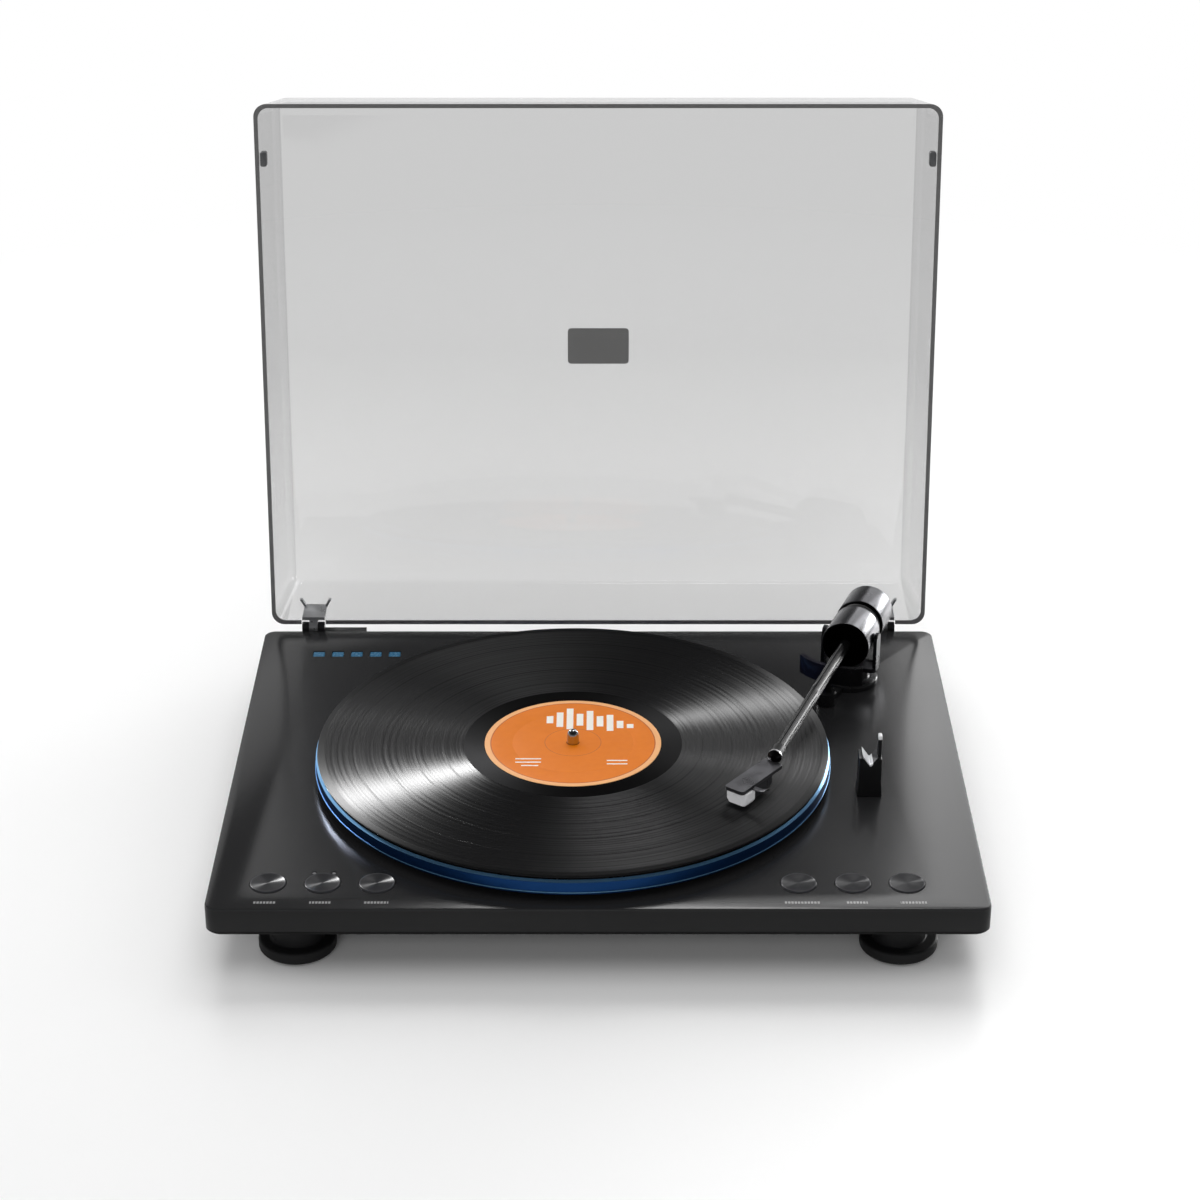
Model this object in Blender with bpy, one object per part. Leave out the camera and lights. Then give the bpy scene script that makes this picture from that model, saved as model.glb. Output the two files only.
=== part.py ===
"""Belt-drive record player with a straight tonearm and a clear hinged dust cover.

Metres, +Z up, front of the plinth towards -Y, floor at Z = 0.
The cover stands open and the arm is over the record, which lies on the platter.
"""
import math

import bmesh
import bpy
from mathutils import Matrix

# Fits shared by all pieces
RUN_GAP = 0.0003
OVERRUN = 0.002

# Facets of round forms
DISC_SIDES = 44
ROUND_SIDES = 18
SMALL_SIDES = 12
CORNER_STEPS = 3

# Margins of the deck round the record, and the plinth casing
LEFT_MARGIN = 0.0498
ARM_SIDE_MARGIN = 0.0796
FRONT_MARGIN = 0.00845
REAR_MARGIN = 0.02725
PLINTH_HEIGHT = 0.018
PLINTH_LIFT = 0.024
PLINTH_CORNER = 0.007
PLINTH_TOP_EDGE = 0.0008
PLINTH_FOOT_EDGE = 0.003
CASING_WALL = 0.0025
DECK_THICKNESS = 0.003
BOSS_RADIUS = 0.004

# Base pan with the belly that holds the motor
PAN_THICKNESS = 0.002
PAN_RISE = 0.0006
BELLY_SIDE_INSET = 0.0725
BELLY_FRONT_INSET = 0.04865
BELLY_DROP = 0.0146
BELLY_CORNER = 0.012
BELLY_DRAFT = 0.004

# Feet
FOOT_SIDE_INSET = 0.0476
FOOT_FRONT_INSET = 0.028
FOOT_RADIUS = 0.0218
FOOT_DISC_HEIGHT = 0.0086
FOOT_EDGE = 0.0028
FOOT_NECK_RADIUS = 0.015
FOOT_BODY_LIFT = 0.0008
SOLE_RADIUS = 0.018
SOLE_THICKNESS = 0.002

# Platter, mat, record and spindle
SPINDLE_RADIUS = 0.00355
SPINDLE_PROUD = 0.0085
SPINDLE_NOSE_SHARES = ((0.3333, 0.125), (0.8, 1))
RECORD_RADIUS = 0.1508
RECORD_THICKNESS = 0.0018
RECORD_TOP = 0.016
RECORD_DISH = 0.0003
RECORD_BEAD = 0.003
RUNOUT_RADIUS = 0.0575
LABEL_RADIUS = 0.0522
LABEL_THICKNESS = 0.0003
MAT_INSET = 0.0025
MAT_THICKNESS = 0.002
PLATTER_INSET = 0.0008
PLATTER_PLATE = 0.003
PLATTER_RIM = 0.0035
PLATTER_UNDERSIDE = 0.004
BAND_THICKNESS = 0.002
BAND_LOW = 0.0045
BAND_HIGH = 0.0134
BAND_EDGE = 0.0009
HUB_RADIUS = 0.011
HUB_DROP = 0.0026
DRIVE_INSET = 0.0668
DRIVE_WALL = 0.003
DRIVE_LOW = 0.0028

# Bearing bush, motor, pulley and belt
BUSH_RADIUS = 0.0075
BUSH_FLANGE_RADIUS = 0.014
BUSH_FLANGE = 0.002
BUSH_FLOOR = 0.0025
BUSH_UNDER_GAP = 0.0032
MOTOR_INSET = 0.0358
MOTOR_BEARING_DEG = 135.0
MOTOR_RADIUS = 0.0165
MOTOR_UNDER_GAP = 0.0067
MOTOR_FLANGE_RADIUS = 0.021
MOTOR_FLANGE = 0.0016
MOTOR_SHAFT_RADIUS = 0.001
MOTOR_SHAFT_DROP = 0.012
PULLEY_RADIUS = 0.006
PULLEY_LIP = 0.0009
PULLEY_LOW = 0.0024
PULLEY_HIGH = 0.008
PULLEY_FLANGE = 0.0006
MOTOR_HOLE_RADIUS = 0.0085
BELT_THICKNESS = 0.0008
BELT_LOW = 0.0034
BELT_HIGH = 0.0072

# Push buttons and their boards
BUTTON_LEFT_INSET = 0.0328
BUTTON_LEFT_PITCH = 0.0302
BUTTON_RIGHT_INSET = 0.0445
BUTTON_RIGHT_PITCH = 0.03
BUTTON_FRONT_INSET = 0.02675
BUTTON_NAMES = ("power", "speed", "source", "start", "lift", "stop")
BUTTON_RADIUS = 0.0099
BUTTON_CLEARANCE = 0.0004
BUTTON_PROUD = 0.0008
BUTTON_DISH = 0.0004
BUTTON_FLANGE = 0.0011
BUTTON_FLANGE_THICKNESS = 0.0008
BUTTON_STEM_RADIUS = 0.002
BUTTON_TRAVEL = 0.001
SWITCH_WIDTH = 0.006
SWITCH_HEIGHT = 0.0034
BOARD_THICKNESS = 0.0016
BOARD_MARGIN = 0.017
BUTTON_BOARD_DEPTH = 0.02
BUTTON_BOARD_DROP = 0.0095

# Lit marks in the deck
GLOW_LEFT_INSET = 0.0614
GLOW_REAR_INSET = 0.03265
GLOW_SPAN = 0.0555
GLOW_BARS = 5
GLOW_BAR_WIDTH = 0.0072
GLOW_BAR_DEPTH = 0.0068
GLOW_BACK = 0.0016
SPEED_LIGHT_AHEAD = 0.0113
SPEED_LIGHT_SPREAD = 0.0055
SPEED_LIGHT_RADIUS = 0.0012
SPEED_GUIDE_BEHIND = 0.0031

# Main board, sockets and switch on the rear wall
MAIN_BOARD_WIDTH = 0.11
MAIN_BOARD_DEPTH = 0.032
MAIN_BOARD_LEFT_INSET = 0.1155
MAIN_BOARD_GAP = 0.006
MAIN_BOARD_RISE = 0.0045
PART_PLACE_SHARES = (-0.3, 0, 0.3)
CHIP_WIDTH = 0.012
CHIP_HEIGHT = 0.0018
CAN_RADIUS = 0.004
CAN_GAP = 0.0008
JACK_LEFT_INSET = 0.1555
JACK_PITCH = 0.014
JACK_RADIUS = 0.0041
JACK_BORE = 0.0016
JACK_REACH = 0.009
JACK_COLLAR = 0.0052
JACK_COLLAR_DEPTH = 0.0015
JACK_BODY_DEPTH = 0.011
JACK_BODY_GAP = 0.00095
GROUND_LEFT_INSET = 0.1795
GROUND_RADIUS = 0.004
GROUND_STEM = 0.0016
GROUND_REACH = 0.009
POWER_LEFT_INSET = 0.0805
POWER_RADIUS = 0.0048
POWER_BORE = 0.0028
POWER_PIN = 0.0009
POWER_BODY = 0.012
LINE_LEFT_INSET = 0.1255
LINE_SLOT_WIDTH = 0.009
LINE_SLOT_HEIGHT = 0.0036
LINE_KNOB_WIDTH = 0.004
LINE_KNOB_REACH = 0.0025
LINE_TRAVEL = 0.004

# Tonearm: pivot, base and lifter
PIVOT_RIGHT_INSET = 0.0581
PIVOT_REAR_INSET = 0.06845
ARM_ANGLE_DEG = -19.9
BASE_RADIUS = 0.0175
BASE_FLANGE = 0.004
BASE_EDGE = 0.0012
PILLAR_RADIUS = 0.012
PILLAR_HEIGHT = 0.0102
PIVOT_SHAFT_RADIUS = 0.004
PIVOT_SLEEVE_RADIUS = 0.0075
YOKE_PLATE = 0.0028
YOKE_DEPTH = 0.013
YOKE_ARM = 0.0022
YOKE_GAP = 0.0006
YOKE_HEAD_RADIUS = 0.0045
GIMBAL_PIN_RADIUS = 0.0016
GIMBAL_PIN_DEPTH = 0.003
DRUM_RADIUS = 0.015
DRUM_UNDER_GAP = 0.0027
DRUM_LENGTH = 0.028
DRUM_EDGE = 0.0012
DRUM_FACE_STEP = 0.0008
LIFTER_REACH = 0.0355
LIFTER_WALL = 0.003
LIFTER_HEIGHT = 0.012
LIFTER_TUBE_GAP = 0.0005
LIFTER_START_DEG = 28.0
LIFTER_END_DEG = 97.0
LIFTER_POST_DEG = 62.0
LIFTER_POST_RADIUS = 0.0026
LIFTER_GUIDE_RADIUS = 0.0058
LIFTER_GUIDE_HEIGHT = 0.009
LIFTER_POST_DROP = 0.011

# Tonearm: tube, headshell and cartridge
TUBE_RADIUS = 0.0035
TUBE_BORE = 0.0025
TUBE_TIP = 0.163
COLLAR_RADIUS = 0.0045
COLLAR_LENGTH = 0.009
SHELL_BEHIND_TIP = 0.0015
SHELL_LENGTH = 0.0409
SHELL_WIDTH = 0.0129
SHELL_THICKNESS = 0.0022
SHELL_TOP_DROP = 0.0025
SHELL_OFFSET_DEG = 17.2
SHELL_CORNER = 0.002
FINGER_WIDTH = 0.0034
FINGER_LENGTH = 0.0095
FINGER_THICKNESS = 0.001
FINGER_RISE = 0.0018
FINGER_BACK = 0.0105
FINGER_BEND_SHARE = 0.6
CARTRIDGE_WIDTH = 0.0122
CARTRIDGE_LENGTH = 0.0185
CARTRIDGE_HEIGHT = 0.0082
CARTRIDGE_FOOT_WIDTH = 0.0098
CARTRIDGE_FOOT_LENGTH = 0.0167
CARTRIDGE_STEP = 0.0049
GUARD_WIDTH = 0.0146
GUARD_LENGTH = 0.0085
GUARD_PROUD = 0.0026
GUARD_FLOOR = 0.0012
GUARD_NOSE = 0.0022
GUARD_TUCK_SHARE = 0.8
STYLUS_RADIUS = 0.0006
STYLUS_BACK = 0.0016

# Counterweight on its stub
STUB_RADIUS = 0.004
STUB_LENGTH = 0.033
BUSHING_RADIUS = 0.0075
BUSHING_LENGTH = 0.02
WEIGHT_RADIUS = 0.0152
WEIGHT_LENGTH = 0.025
WEIGHT_GAP = 0.0045
BUSHING_FLANGE_RADIUS = 0.0136
BUSHING_FLANGE = 0.002
WEIGHT_EDGE = 0.0014
WEIGHT_GROOVE = 0.0008

# Arm rest
REST_SHIFT = 0.0006
REST_REACH = 0.1405
REST_WIDTH = 0.013
REST_DEPTH = 0.012
REST_FLARE = 0.0007
REST_NOTCH_DROP = 0.0122
REST_LEFT_DROP = 0.0058
REST_RIGHT_DROP = 0.0065
REST_LIP_RUN = 0.0019
PRONG_WIDTH = 0.0022
PRONG_DEPTH = 0.0045
PRONG_RISE = 0.007
CRADLE_THICKNESS = 0.001

# Dust cover, hinges and fittings
COVER_SIDE_INSET = 0.004
COVER_REAR_OVERHANG = 0.0022
COVER_HEIGHT = 0.0675
COVER_WALL = 0.0025
COVER_TAPER = 0.0065
COVER_CORNER = 0.008
COVER_ROUND = 0.004
COVER_FRONT_INSET = 0.0025
COVER_RIM_GAP = 0.001
COVER_OPEN_DEG = 97.5
AXIS_BEHIND_COVER = 0.0016
AXIS_ABOVE_RIM = 0.0004
HINGE_SIDE_INSET = 0.0308
KNUCKLE_RADIUS = 0.0031
KNUCKLE_LENGTH = 0.0054
HINGE_WIDTH = 0.0145
HINGE_PIN_RADIUS = 0.0012
LEAF_THICKNESS = 0.002
LEAF_REACH = 0.021
LEAF_WEB = 0.0016
EAR_THICKNESS = 0.0016
EAR_REACH = 0.0055
EAR_SPREAD = 0.003
NOTCH_MARGIN = 0.0006
NOTCH_RISE = 0.0048
SOCKET_DEPTH = 0.0055
SOCKET_UNDER_GAP = 0.003
SOCKET_INNER_RUN = 0.027
SOCKET_STEP = 0.0036
BUMPER_FROM_FRONT = 0.034
BUMPER_LENGTH = 0.009
BUMPER_WIDTH = 0.004
BUMPER_HEIGHT = 0.005
BADGE_WIDTH = 0.0398
BADGE_HEIGHT = 0.0237
BADGE_THICKNESS = 0.0008

# Sizes, levels and places worked out from the values above
PLINTH_WIDTH = 2 * RECORD_RADIUS + LEFT_MARGIN + ARM_SIDE_MARGIN
PLINTH_DEPTH = 2 * RECORD_RADIUS + FRONT_MARGIN + REAR_MARGIN
LEFT_X = -PLINTH_WIDTH / 2
RIGHT_X = PLINTH_WIDTH / 2
DECK_Z = PLINTH_LIFT + PLINTH_HEIGHT
CEILING_Z = DECK_Z - DECK_THICKNESS
PAN_LOW = PLINTH_LIFT + PAN_RISE
PAN_HIGH = PAN_LOW + PAN_THICKNESS
BELLY_Z = PAN_LOW - BELLY_DROP
FRONT_Y = -PLINTH_DEPTH / 2
REAR_Y = PLINTH_DEPTH / 2
REAR_INNER_Y = REAR_Y - CASING_WALL
BELLY_WIDTH = PLINTH_WIDTH - 2 * BELLY_SIDE_INSET
BELLY_DEPTH = PLINTH_DEPTH - 2 * BELLY_FRONT_INSET
RIM_Z = DECK_Z + COVER_RIM_GAP
COVER_WIDTH = PLINTH_WIDTH - 2 * COVER_SIDE_INSET
COVER_LENGTH = PLINTH_DEPTH - COVER_FRONT_INSET + COVER_REAR_OVERHANG
COVER_FRONT_Y = FRONT_Y + COVER_FRONT_INSET
COVER_REAR_Y = COVER_FRONT_Y + COVER_LENGTH
AXIS_Y = COVER_REAR_Y + AXIS_BEHIND_COVER
AXIS_Z = RIM_Z + AXIS_ABOVE_RIM
HINGE_X = RIGHT_X - HINGE_SIDE_INSET
SOCKET_DROP = PLINTH_HEIGHT - SOCKET_UNDER_GAP
SPINDLE_X = LEFT_X + LEFT_MARGIN + RECORD_RADIUS
SPINDLE_Y = FRONT_Y + FRONT_MARGIN + RECORD_RADIUS
SPINDLE_DROP = DECK_Z - BELLY_Z - PAN_THICKNESS - BUSH_UNDER_GAP - BUSH_FLOOR - RUN_GAP
PLATTER_RADIUS = RECORD_RADIUS - PLATTER_INSET
MAT_RADIUS = PLATTER_RADIUS - MAT_INSET
DRIVE_RADIUS = RECORD_RADIUS - DRIVE_INSET
RECORD_LOW = RECORD_TOP - RECORD_THICKNESS
MAT_HIGH = RECORD_LOW - RUN_GAP
MAT_LOW = MAT_HIGH - MAT_THICKNESS
PLATTER_HIGH = MAT_LOW - RUN_GAP
PLATTER_PLATE_LOW = PLATTER_HIGH - PLATTER_PLATE
BORE_RADIUS = SPINDLE_RADIUS + RUN_GAP
PIVOT_HEIGHT = PILLAR_HEIGHT + RUN_GAP + YOKE_PLATE + DRUM_UNDER_GAP + DRUM_RADIUS
PIVOT_X = RIGHT_X - PIVOT_RIGHT_INSET
PIVOT_Y = REAR_Y - PIVOT_REAR_INSET
PIVOT_SHAFT_DROP = CEILING_Z - PAN_HIGH - 2 * RUN_GAP
SHELL_REAR = TUBE_TIP + SHELL_BEHIND_TIP
SHELL_TOP = PIVOT_HEIGHT - SHELL_TOP_DROP
SHELL_LOW = SHELL_TOP - SHELL_THICKNESS
STYLUS_TIP = RECORD_TOP + RUN_GAP
LIFTER_TOP = PIVOT_HEIGHT - TUBE_RADIUS - LIFTER_TUBE_GAP
REST_X = PIVOT_X + REST_SHIFT
REST_Y = PIVOT_Y - REST_REACH
REST_NOTCH = PIVOT_HEIGHT - REST_NOTCH_DROP
REST_LEFT_LIP = PIVOT_HEIGHT - REST_LEFT_DROP
REST_RIGHT_LIP = PIVOT_HEIGHT - REST_RIGHT_DROP
PRONG_HEIGHT = PIVOT_HEIGHT + PRONG_RISE
MOTOR_REACH = RECORD_RADIUS - MOTOR_INSET
MOTOR_HEIGHT = CEILING_Z - RUN_GAP - BELLY_Z - PAN_THICKNESS - MOTOR_UNDER_GAP
MOTOR_X = SPINDLE_X + MOTOR_REACH * math.cos(math.radians(MOTOR_BEARING_DEG))
MOTOR_Y = SPINDLE_Y + MOTOR_REACH * math.sin(math.radians(MOTOR_BEARING_DEG))
BUTTON_X = [LEFT_X + BUTTON_LEFT_INSET + BUTTON_LEFT_PITCH * i for i in range(3)]
BUTTON_X += [RIGHT_X - BUTTON_RIGHT_INSET + BUTTON_RIGHT_PITCH * i for i in (-2, -1, 0)]
BUTTON_Y = FRONT_Y + BUTTON_FRONT_INSET
SPEED_LIGHT_Y = BUTTON_Y + SPEED_LIGHT_AHEAD
GLOW_X = LEFT_X + GLOW_LEFT_INSET
GLOW_Y = REAR_Y - GLOW_REAR_INSET
MAIN_BOARD_X = LEFT_X + MAIN_BOARD_LEFT_INSET
MAIN_BOARD_LOW = PAN_HIGH + MAIN_BOARD_RISE
CAN_HEIGHT = CEILING_Z - RUN_GAP - GLOW_BACK - CAN_GAP - MAIN_BOARD_LOW
SOCKET_Z = (PAN_HIGH + CEILING_Z) / 2
JACK_X = LEFT_X + JACK_LEFT_INSET
JACK_BODY_HEIGHT = CEILING_Z - PAN_HIGH - 2 * JACK_BODY_GAP
GROUND_X = LEFT_X + GROUND_LEFT_INSET
POWER_X = LEFT_X + POWER_LEFT_INSET
LINE_X = LEFT_X + LINE_LEFT_INSET
FEET_XY = [(side * (PLINTH_WIDTH / 2 - FOOT_SIDE_INSET), end * (PLINTH_DEPTH / 2 - FOOT_FRONT_INSET))
           for end in (-1, 1) for side in (-1, 1)]
FEET_NAMES = ("front_left", "front_right", "rear_left", "rear_right")


def arc(centre_x, centre_y, radius, start_deg, end_deg, steps):
    """Points of an arc, both ends included."""
    turns = [math.radians(start_deg + (end_deg - start_deg) * i / steps) for i in range(steps + 1)]
    return [(centre_x + radius * math.cos(t), centre_y + radius * math.sin(t)) for t in turns]


def rounded(width, depth, radius, steps=CORNER_STEPS):
    """Outline of a rectangle with round corners, centred on the origin."""
    x, y = width / 2 - radius, depth / 2 - radius
    corners = ((x, y, 0), (-x, y, 90), (-x, -y, 180), (x, -y, 270))
    return [p for cx, cy, deg in corners for p in arc(cx, cy, radius, deg, deg + 90, steps)]


def box(width, depth):
    """Outline of a plain rectangle, centred on the origin."""
    return [(width / 2, depth / 2), (-width / 2, depth / 2), (-width / 2, -depth / 2),
            (width / 2, -depth / 2)]


def circle(radius, sides=ROUND_SIDES):
    """Outline of a round."""
    return arc(0, 0, radius, 0, 360, sides)[:-1]


def moved(outline, x, y):
    """The outline shifted in its plane."""
    return [(px + x, py + y) for px, py in outline]


def loft(sections, bm=None):
    """A closed solid through outlines of equal point count, each at its own height."""
    bm = bm or bmesh.new()
    rings = [[bm.verts.new((x, y, z)) for x, y in outline] for outline, z in sections]
    for low, high in zip(rings, rings[1:]):
        for i in range(len(low)):
            j = (i + 1) % len(low)
            bm.faces.new((low[i], low[j], high[j], high[i]))
    bm.faces.new(list(reversed(rings[0])))
    bm.faces.new(rings[-1])
    return bm


def prism(outline, low, high, bm=None):
    """The outline extruded from one height to another."""
    return loft(((outline, low), (outline, high)), bm)


def turned(profile, sides=ROUND_SIDES, bm=None):
    """A closed profile of radius and height turned about Z; points at radius 0 become poles."""
    bm = bm or bmesh.new()
    rings = []
    for radius, z in profile:
        if radius == 0:
            rings.append([bm.verts.new((0, 0, z))])
        else:
            rings.append([bm.verts.new((x, y, z)) for x, y in circle(radius, sides)])
    for one, two in zip(rings, rings[1:] + rings[:1]):
        for i in range(sides):
            j = (i + 1) % sides
            if len(one) > 1 and len(two) > 1:
                bm.faces.new((one[i], one[j], two[j], two[i]))
            elif len(one) > 1:
                bm.faces.new((one[i], one[j], two[0]))
            elif len(two) > 1:
                bm.faces.new((one[0], two[j], two[i]))
    return bm


def turn_mesh(bm, degrees, axis):
    """Turns the whole mesh about an axis through the origin."""
    bmesh.ops.rotate(bm, verts=bm.verts, matrix=Matrix.Rotation(math.radians(degrees), 3, axis))
    return bm


def shift_mesh(bm, x=0, y=0, z=0):
    """Moves the whole mesh."""
    bmesh.ops.translate(bm, verts=bm.verts, vec=(x, y, z))
    return bm


def paint(name, colour, roughness, metallic=0, alpha=1):
    """A Principled material with a plain finish."""
    material = bpy.data.materials.new(name)
    material.use_nodes = True
    shader = material.node_tree.nodes["Principled BSDF"]
    shader.inputs["Base Color"].default_value = (*colour, 1)
    shader.inputs["Roughness"].default_value = roughness
    shader.inputs["Metallic"].default_value = metallic
    shader.inputs["Alpha"].default_value = alpha
    return material


def piece(name, bm, material, parent, location=(0, 0, 0), rotation=(0, 0, 0)):
    """A named sub-part made from the mesh, with its own copy of the finish."""
    bmesh.ops.recalc_face_normals(bm, faces=bm.faces)
    mesh = bpy.data.meshes.new(name)
    bm.to_mesh(mesh)
    bm.free()
    mesh.shade_smooth()
    mesh.set_sharp_from_angle(angle=math.radians(30))
    obj = bpy.data.objects.new(name, mesh)
    bpy.context.collection.objects.link(obj)
    own = material.copy()
    own.name = name + "_finish"
    mesh.materials.append(own)
    obj.parent = parent
    obj.location = location
    obj.rotation_euler = [math.radians(a) for a in rotation]
    return obj


def shape(target, bm, operation, location=(0, 0, 0), rotation=(0, 0, 0)):
    """Cuts the mesh from the piece, or fuses it on, in the frame of the piece."""
    bmesh.ops.recalc_face_normals(bm, faces=bm.faces)
    label = target.name + "_" + operation.lower() + "_" + str(len(target.modifiers))
    mesh = bpy.data.meshes.new(label)
    bm.to_mesh(mesh)
    bm.free()
    tool = bpy.data.objects.new(label, mesh)
    bpy.context.collection.objects.link(tool)
    tool.parent = target
    tool.location = location
    tool.rotation_euler = [math.radians(a) for a in rotation]
    tool.hide_render = True
    tool.display_type = "WIRE"
    step = target.modifiers.new(label, "BOOLEAN")
    step.operation = operation
    step.object = tool
    return target


def cut(target, bm, location=(0, 0, 0), rotation=(0, 0, 0)):
    """Removes the mesh from the piece."""
    return shape(target, bm, "DIFFERENCE", location, rotation)


def fuse(target, bm, location=(0, 0, 0), rotation=(0, 0, 0)):
    """Adds the mesh to the piece."""
    return shape(target, bm, "UNION", location, rotation)


def pivot(name, parent, location, rotation=(0, 0, 0)):
    """An empty on a joint's axis, which carries what moves there."""
    empty = bpy.data.objects.new(name, None)
    bpy.context.collection.objects.link(empty)
    empty.parent = parent
    empty.location = location
    empty.rotation_euler = [math.radians(a) for a in rotation]
    return empty


def cover_sections(inset, overrun):
    """Outlines of the closed cover from its rim up, in the frame of the hinge axis.

    An inset of one wall gives the inside, and the overrun lowers its open end.
    """
    top = COVER_HEIGHT - inset
    radius = COVER_ROUND - inset * COVER_ROUND / (COVER_ROUND + COVER_WALL)
    levels = [(-overrun, 0)]
    for i in range(CORNER_STEPS):
        turn = math.radians(90 * i / (CORNER_STEPS - 1))
        levels.append((top - radius + radius * math.sin(turn), radius * (1 - math.cos(turn))))
    middle = (COVER_FRONT_Y + COVER_REAR_Y) / 2 - AXIS_Y
    sections = []
    for height, pull in levels:
        narrow = inset + pull + COVER_TAPER * height / COVER_HEIGHT
        outline = rounded(COVER_WIDTH - 2 * narrow, COVER_LENGTH - 2 * narrow, COVER_CORNER - inset / 2)
        sections.append((moved(outline, 0, middle), RIM_Z - AXIS_Z + height))
    return sections


def opened(y, z):
    """Where a point of the closed cover lies when the cover stands open, from the plinth's centre."""
    turn = math.radians(-COVER_OPEN_DEG)
    return (AXIS_Y + y * math.cos(turn) - z * math.sin(turn),
            AXIS_Z + y * math.sin(turn) + z * math.cos(turn))


def cover_reach():
    """The furthest that the open cover stands back from the plinth's centre."""
    return max(opened(y, z)[0] for outline, z in cover_sections(0, 0) for x, y in outline)


def casing_bosses():
    """Places of the screw bosses that hold the pan, clear of feet, boards and belly."""
    x = PLINTH_WIDTH / 2 - CASING_WALL - 2 * BOSS_RADIUS
    return [(side * x, end * (PLINTH_DEPTH / 4)) for end in (-1, 1) for side in (-1, 1)]


def board_span(names_from):
    """Centre and width of the board under three buttons."""
    low, high = BUTTON_X[names_from], BUTTON_X[names_from + 2]
    return (low + high) / 2, high - low + 2 * BOARD_MARGIN


def glow_places():
    """Centres of the lit bars, in an even row."""
    pitch = (GLOW_SPAN - GLOW_BAR_WIDTH) / (GLOW_BARS - 1)
    start = GLOW_X - (GLOW_SPAN - GLOW_BAR_WIDTH) / 2
    return [start + pitch * i for i in range(GLOW_BARS)]


def build_casing(root, black):
    """The thin moulded plinth casing: deck, walls, holes for all that passes through."""
    outer = []
    for inset, z in ((PLINTH_FOOT_EDGE, PLINTH_LIFT), (0, PLINTH_LIFT + PLINTH_FOOT_EDGE),
                     (0, DECK_Z - PLINTH_TOP_EDGE), (PLINTH_TOP_EDGE, DECK_Z)):
        outline = rounded(PLINTH_WIDTH - 2 * inset, PLINTH_DEPTH - 2 * inset, PLINTH_CORNER - inset / 2)
        outer.append((outline, z))
    casing = piece("top_casing", loft(outer), black, root)
    inner = rounded(PLINTH_WIDTH - 2 * CASING_WALL, PLINTH_DEPTH - 2 * CASING_WALL,
                    PLINTH_CORNER - CASING_WALL)
    low = rounded(PLINTH_WIDTH - 2 * PLINTH_FOOT_EDGE - 2 * CASING_WALL,
                  PLINTH_DEPTH - 2 * PLINTH_FOOT_EDGE - 2 * CASING_WALL, PLINTH_CORNER - CASING_WALL)
    cut(casing, loft(((low, PLINTH_LIFT - OVERRUN), (low, PLINTH_LIFT),
                      (inner, PLINTH_LIFT + PLINTH_FOOT_EDGE),
                      (inner, CEILING_Z))))
    bosses = bmesh.new()
    for x, y in casing_bosses():
        prism(moved(circle(BOSS_RADIUS, SMALL_SIDES), x, y), PAN_HIGH + RUN_GAP, CEILING_Z + RUN_GAP, bosses)
    for first in (0, 3):
        middle, width = board_span(first)
        for side in (-1, 1):
            x = middle + side * (width / 2 - BOSS_RADIUS * 3 / 4)
            prism(moved(circle(BOSS_RADIUS / 2, SMALL_SIDES), x, BUTTON_Y),
                  DECK_Z - BUTTON_BOARD_DROP + RUN_GAP, CEILING_Z + RUN_GAP, bosses)
    fuse(casing, bosses)
    holes = bmesh.new()
    low, high = CEILING_Z - RUN_GAP, DECK_Z + OVERRUN
    for x in BUTTON_X:
        prism(moved(circle(BUTTON_RADIUS + BUTTON_CLEARANCE), x, BUTTON_Y), low, high, holes)
    rounds = ((SPINDLE_X, SPINDLE_Y, BUSH_RADIUS + RUN_GAP), (MOTOR_X, MOTOR_Y, MOTOR_HOLE_RADIUS),
              (PIVOT_X, PIVOT_Y, PIVOT_SLEEVE_RADIUS + RUN_GAP), (*lifter_place(), LIFTER_GUIDE_RADIUS))
    for x, y, radius in rounds:
        prism(moved(circle(radius), x, y), low, high, holes)
    for side in (-1, 1):
        x = BUTTON_X[1] + side * SPEED_LIGHT_SPREAD
        prism(moved(circle(SPEED_LIGHT_RADIUS + RUN_GAP, SMALL_SIDES), x, SPEED_LIGHT_Y), low, high, holes)
    for x in glow_places():
        outline = box(GLOW_BAR_WIDTH + 2 * RUN_GAP, GLOW_BAR_DEPTH + 2 * RUN_GAP)
        prism(moved(outline, x, GLOW_Y), low, high, holes)
    cut(casing, holes)
    rear = bmesh.new()
    for x, radius in ((JACK_X - JACK_PITCH / 2, JACK_COLLAR), (JACK_X + JACK_PITCH / 2, JACK_COLLAR),
                      (GROUND_X, GROUND_STEM), (POWER_X, POWER_RADIUS)):
        prism(moved(circle(radius + RUN_GAP, SMALL_SIDES), x, SOCKET_Z), -REAR_Y - OVERRUN,
              OVERRUN - REAR_INNER_Y, rear)
    slot = box(LINE_SLOT_WIDTH, LINE_SLOT_HEIGHT)
    prism(moved(slot, LINE_X, SOCKET_Z), -REAR_Y - OVERRUN, OVERRUN - REAR_INNER_Y, rear)
    cut(casing, rear, rotation=(90, 0, 0))
    return casing


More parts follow.
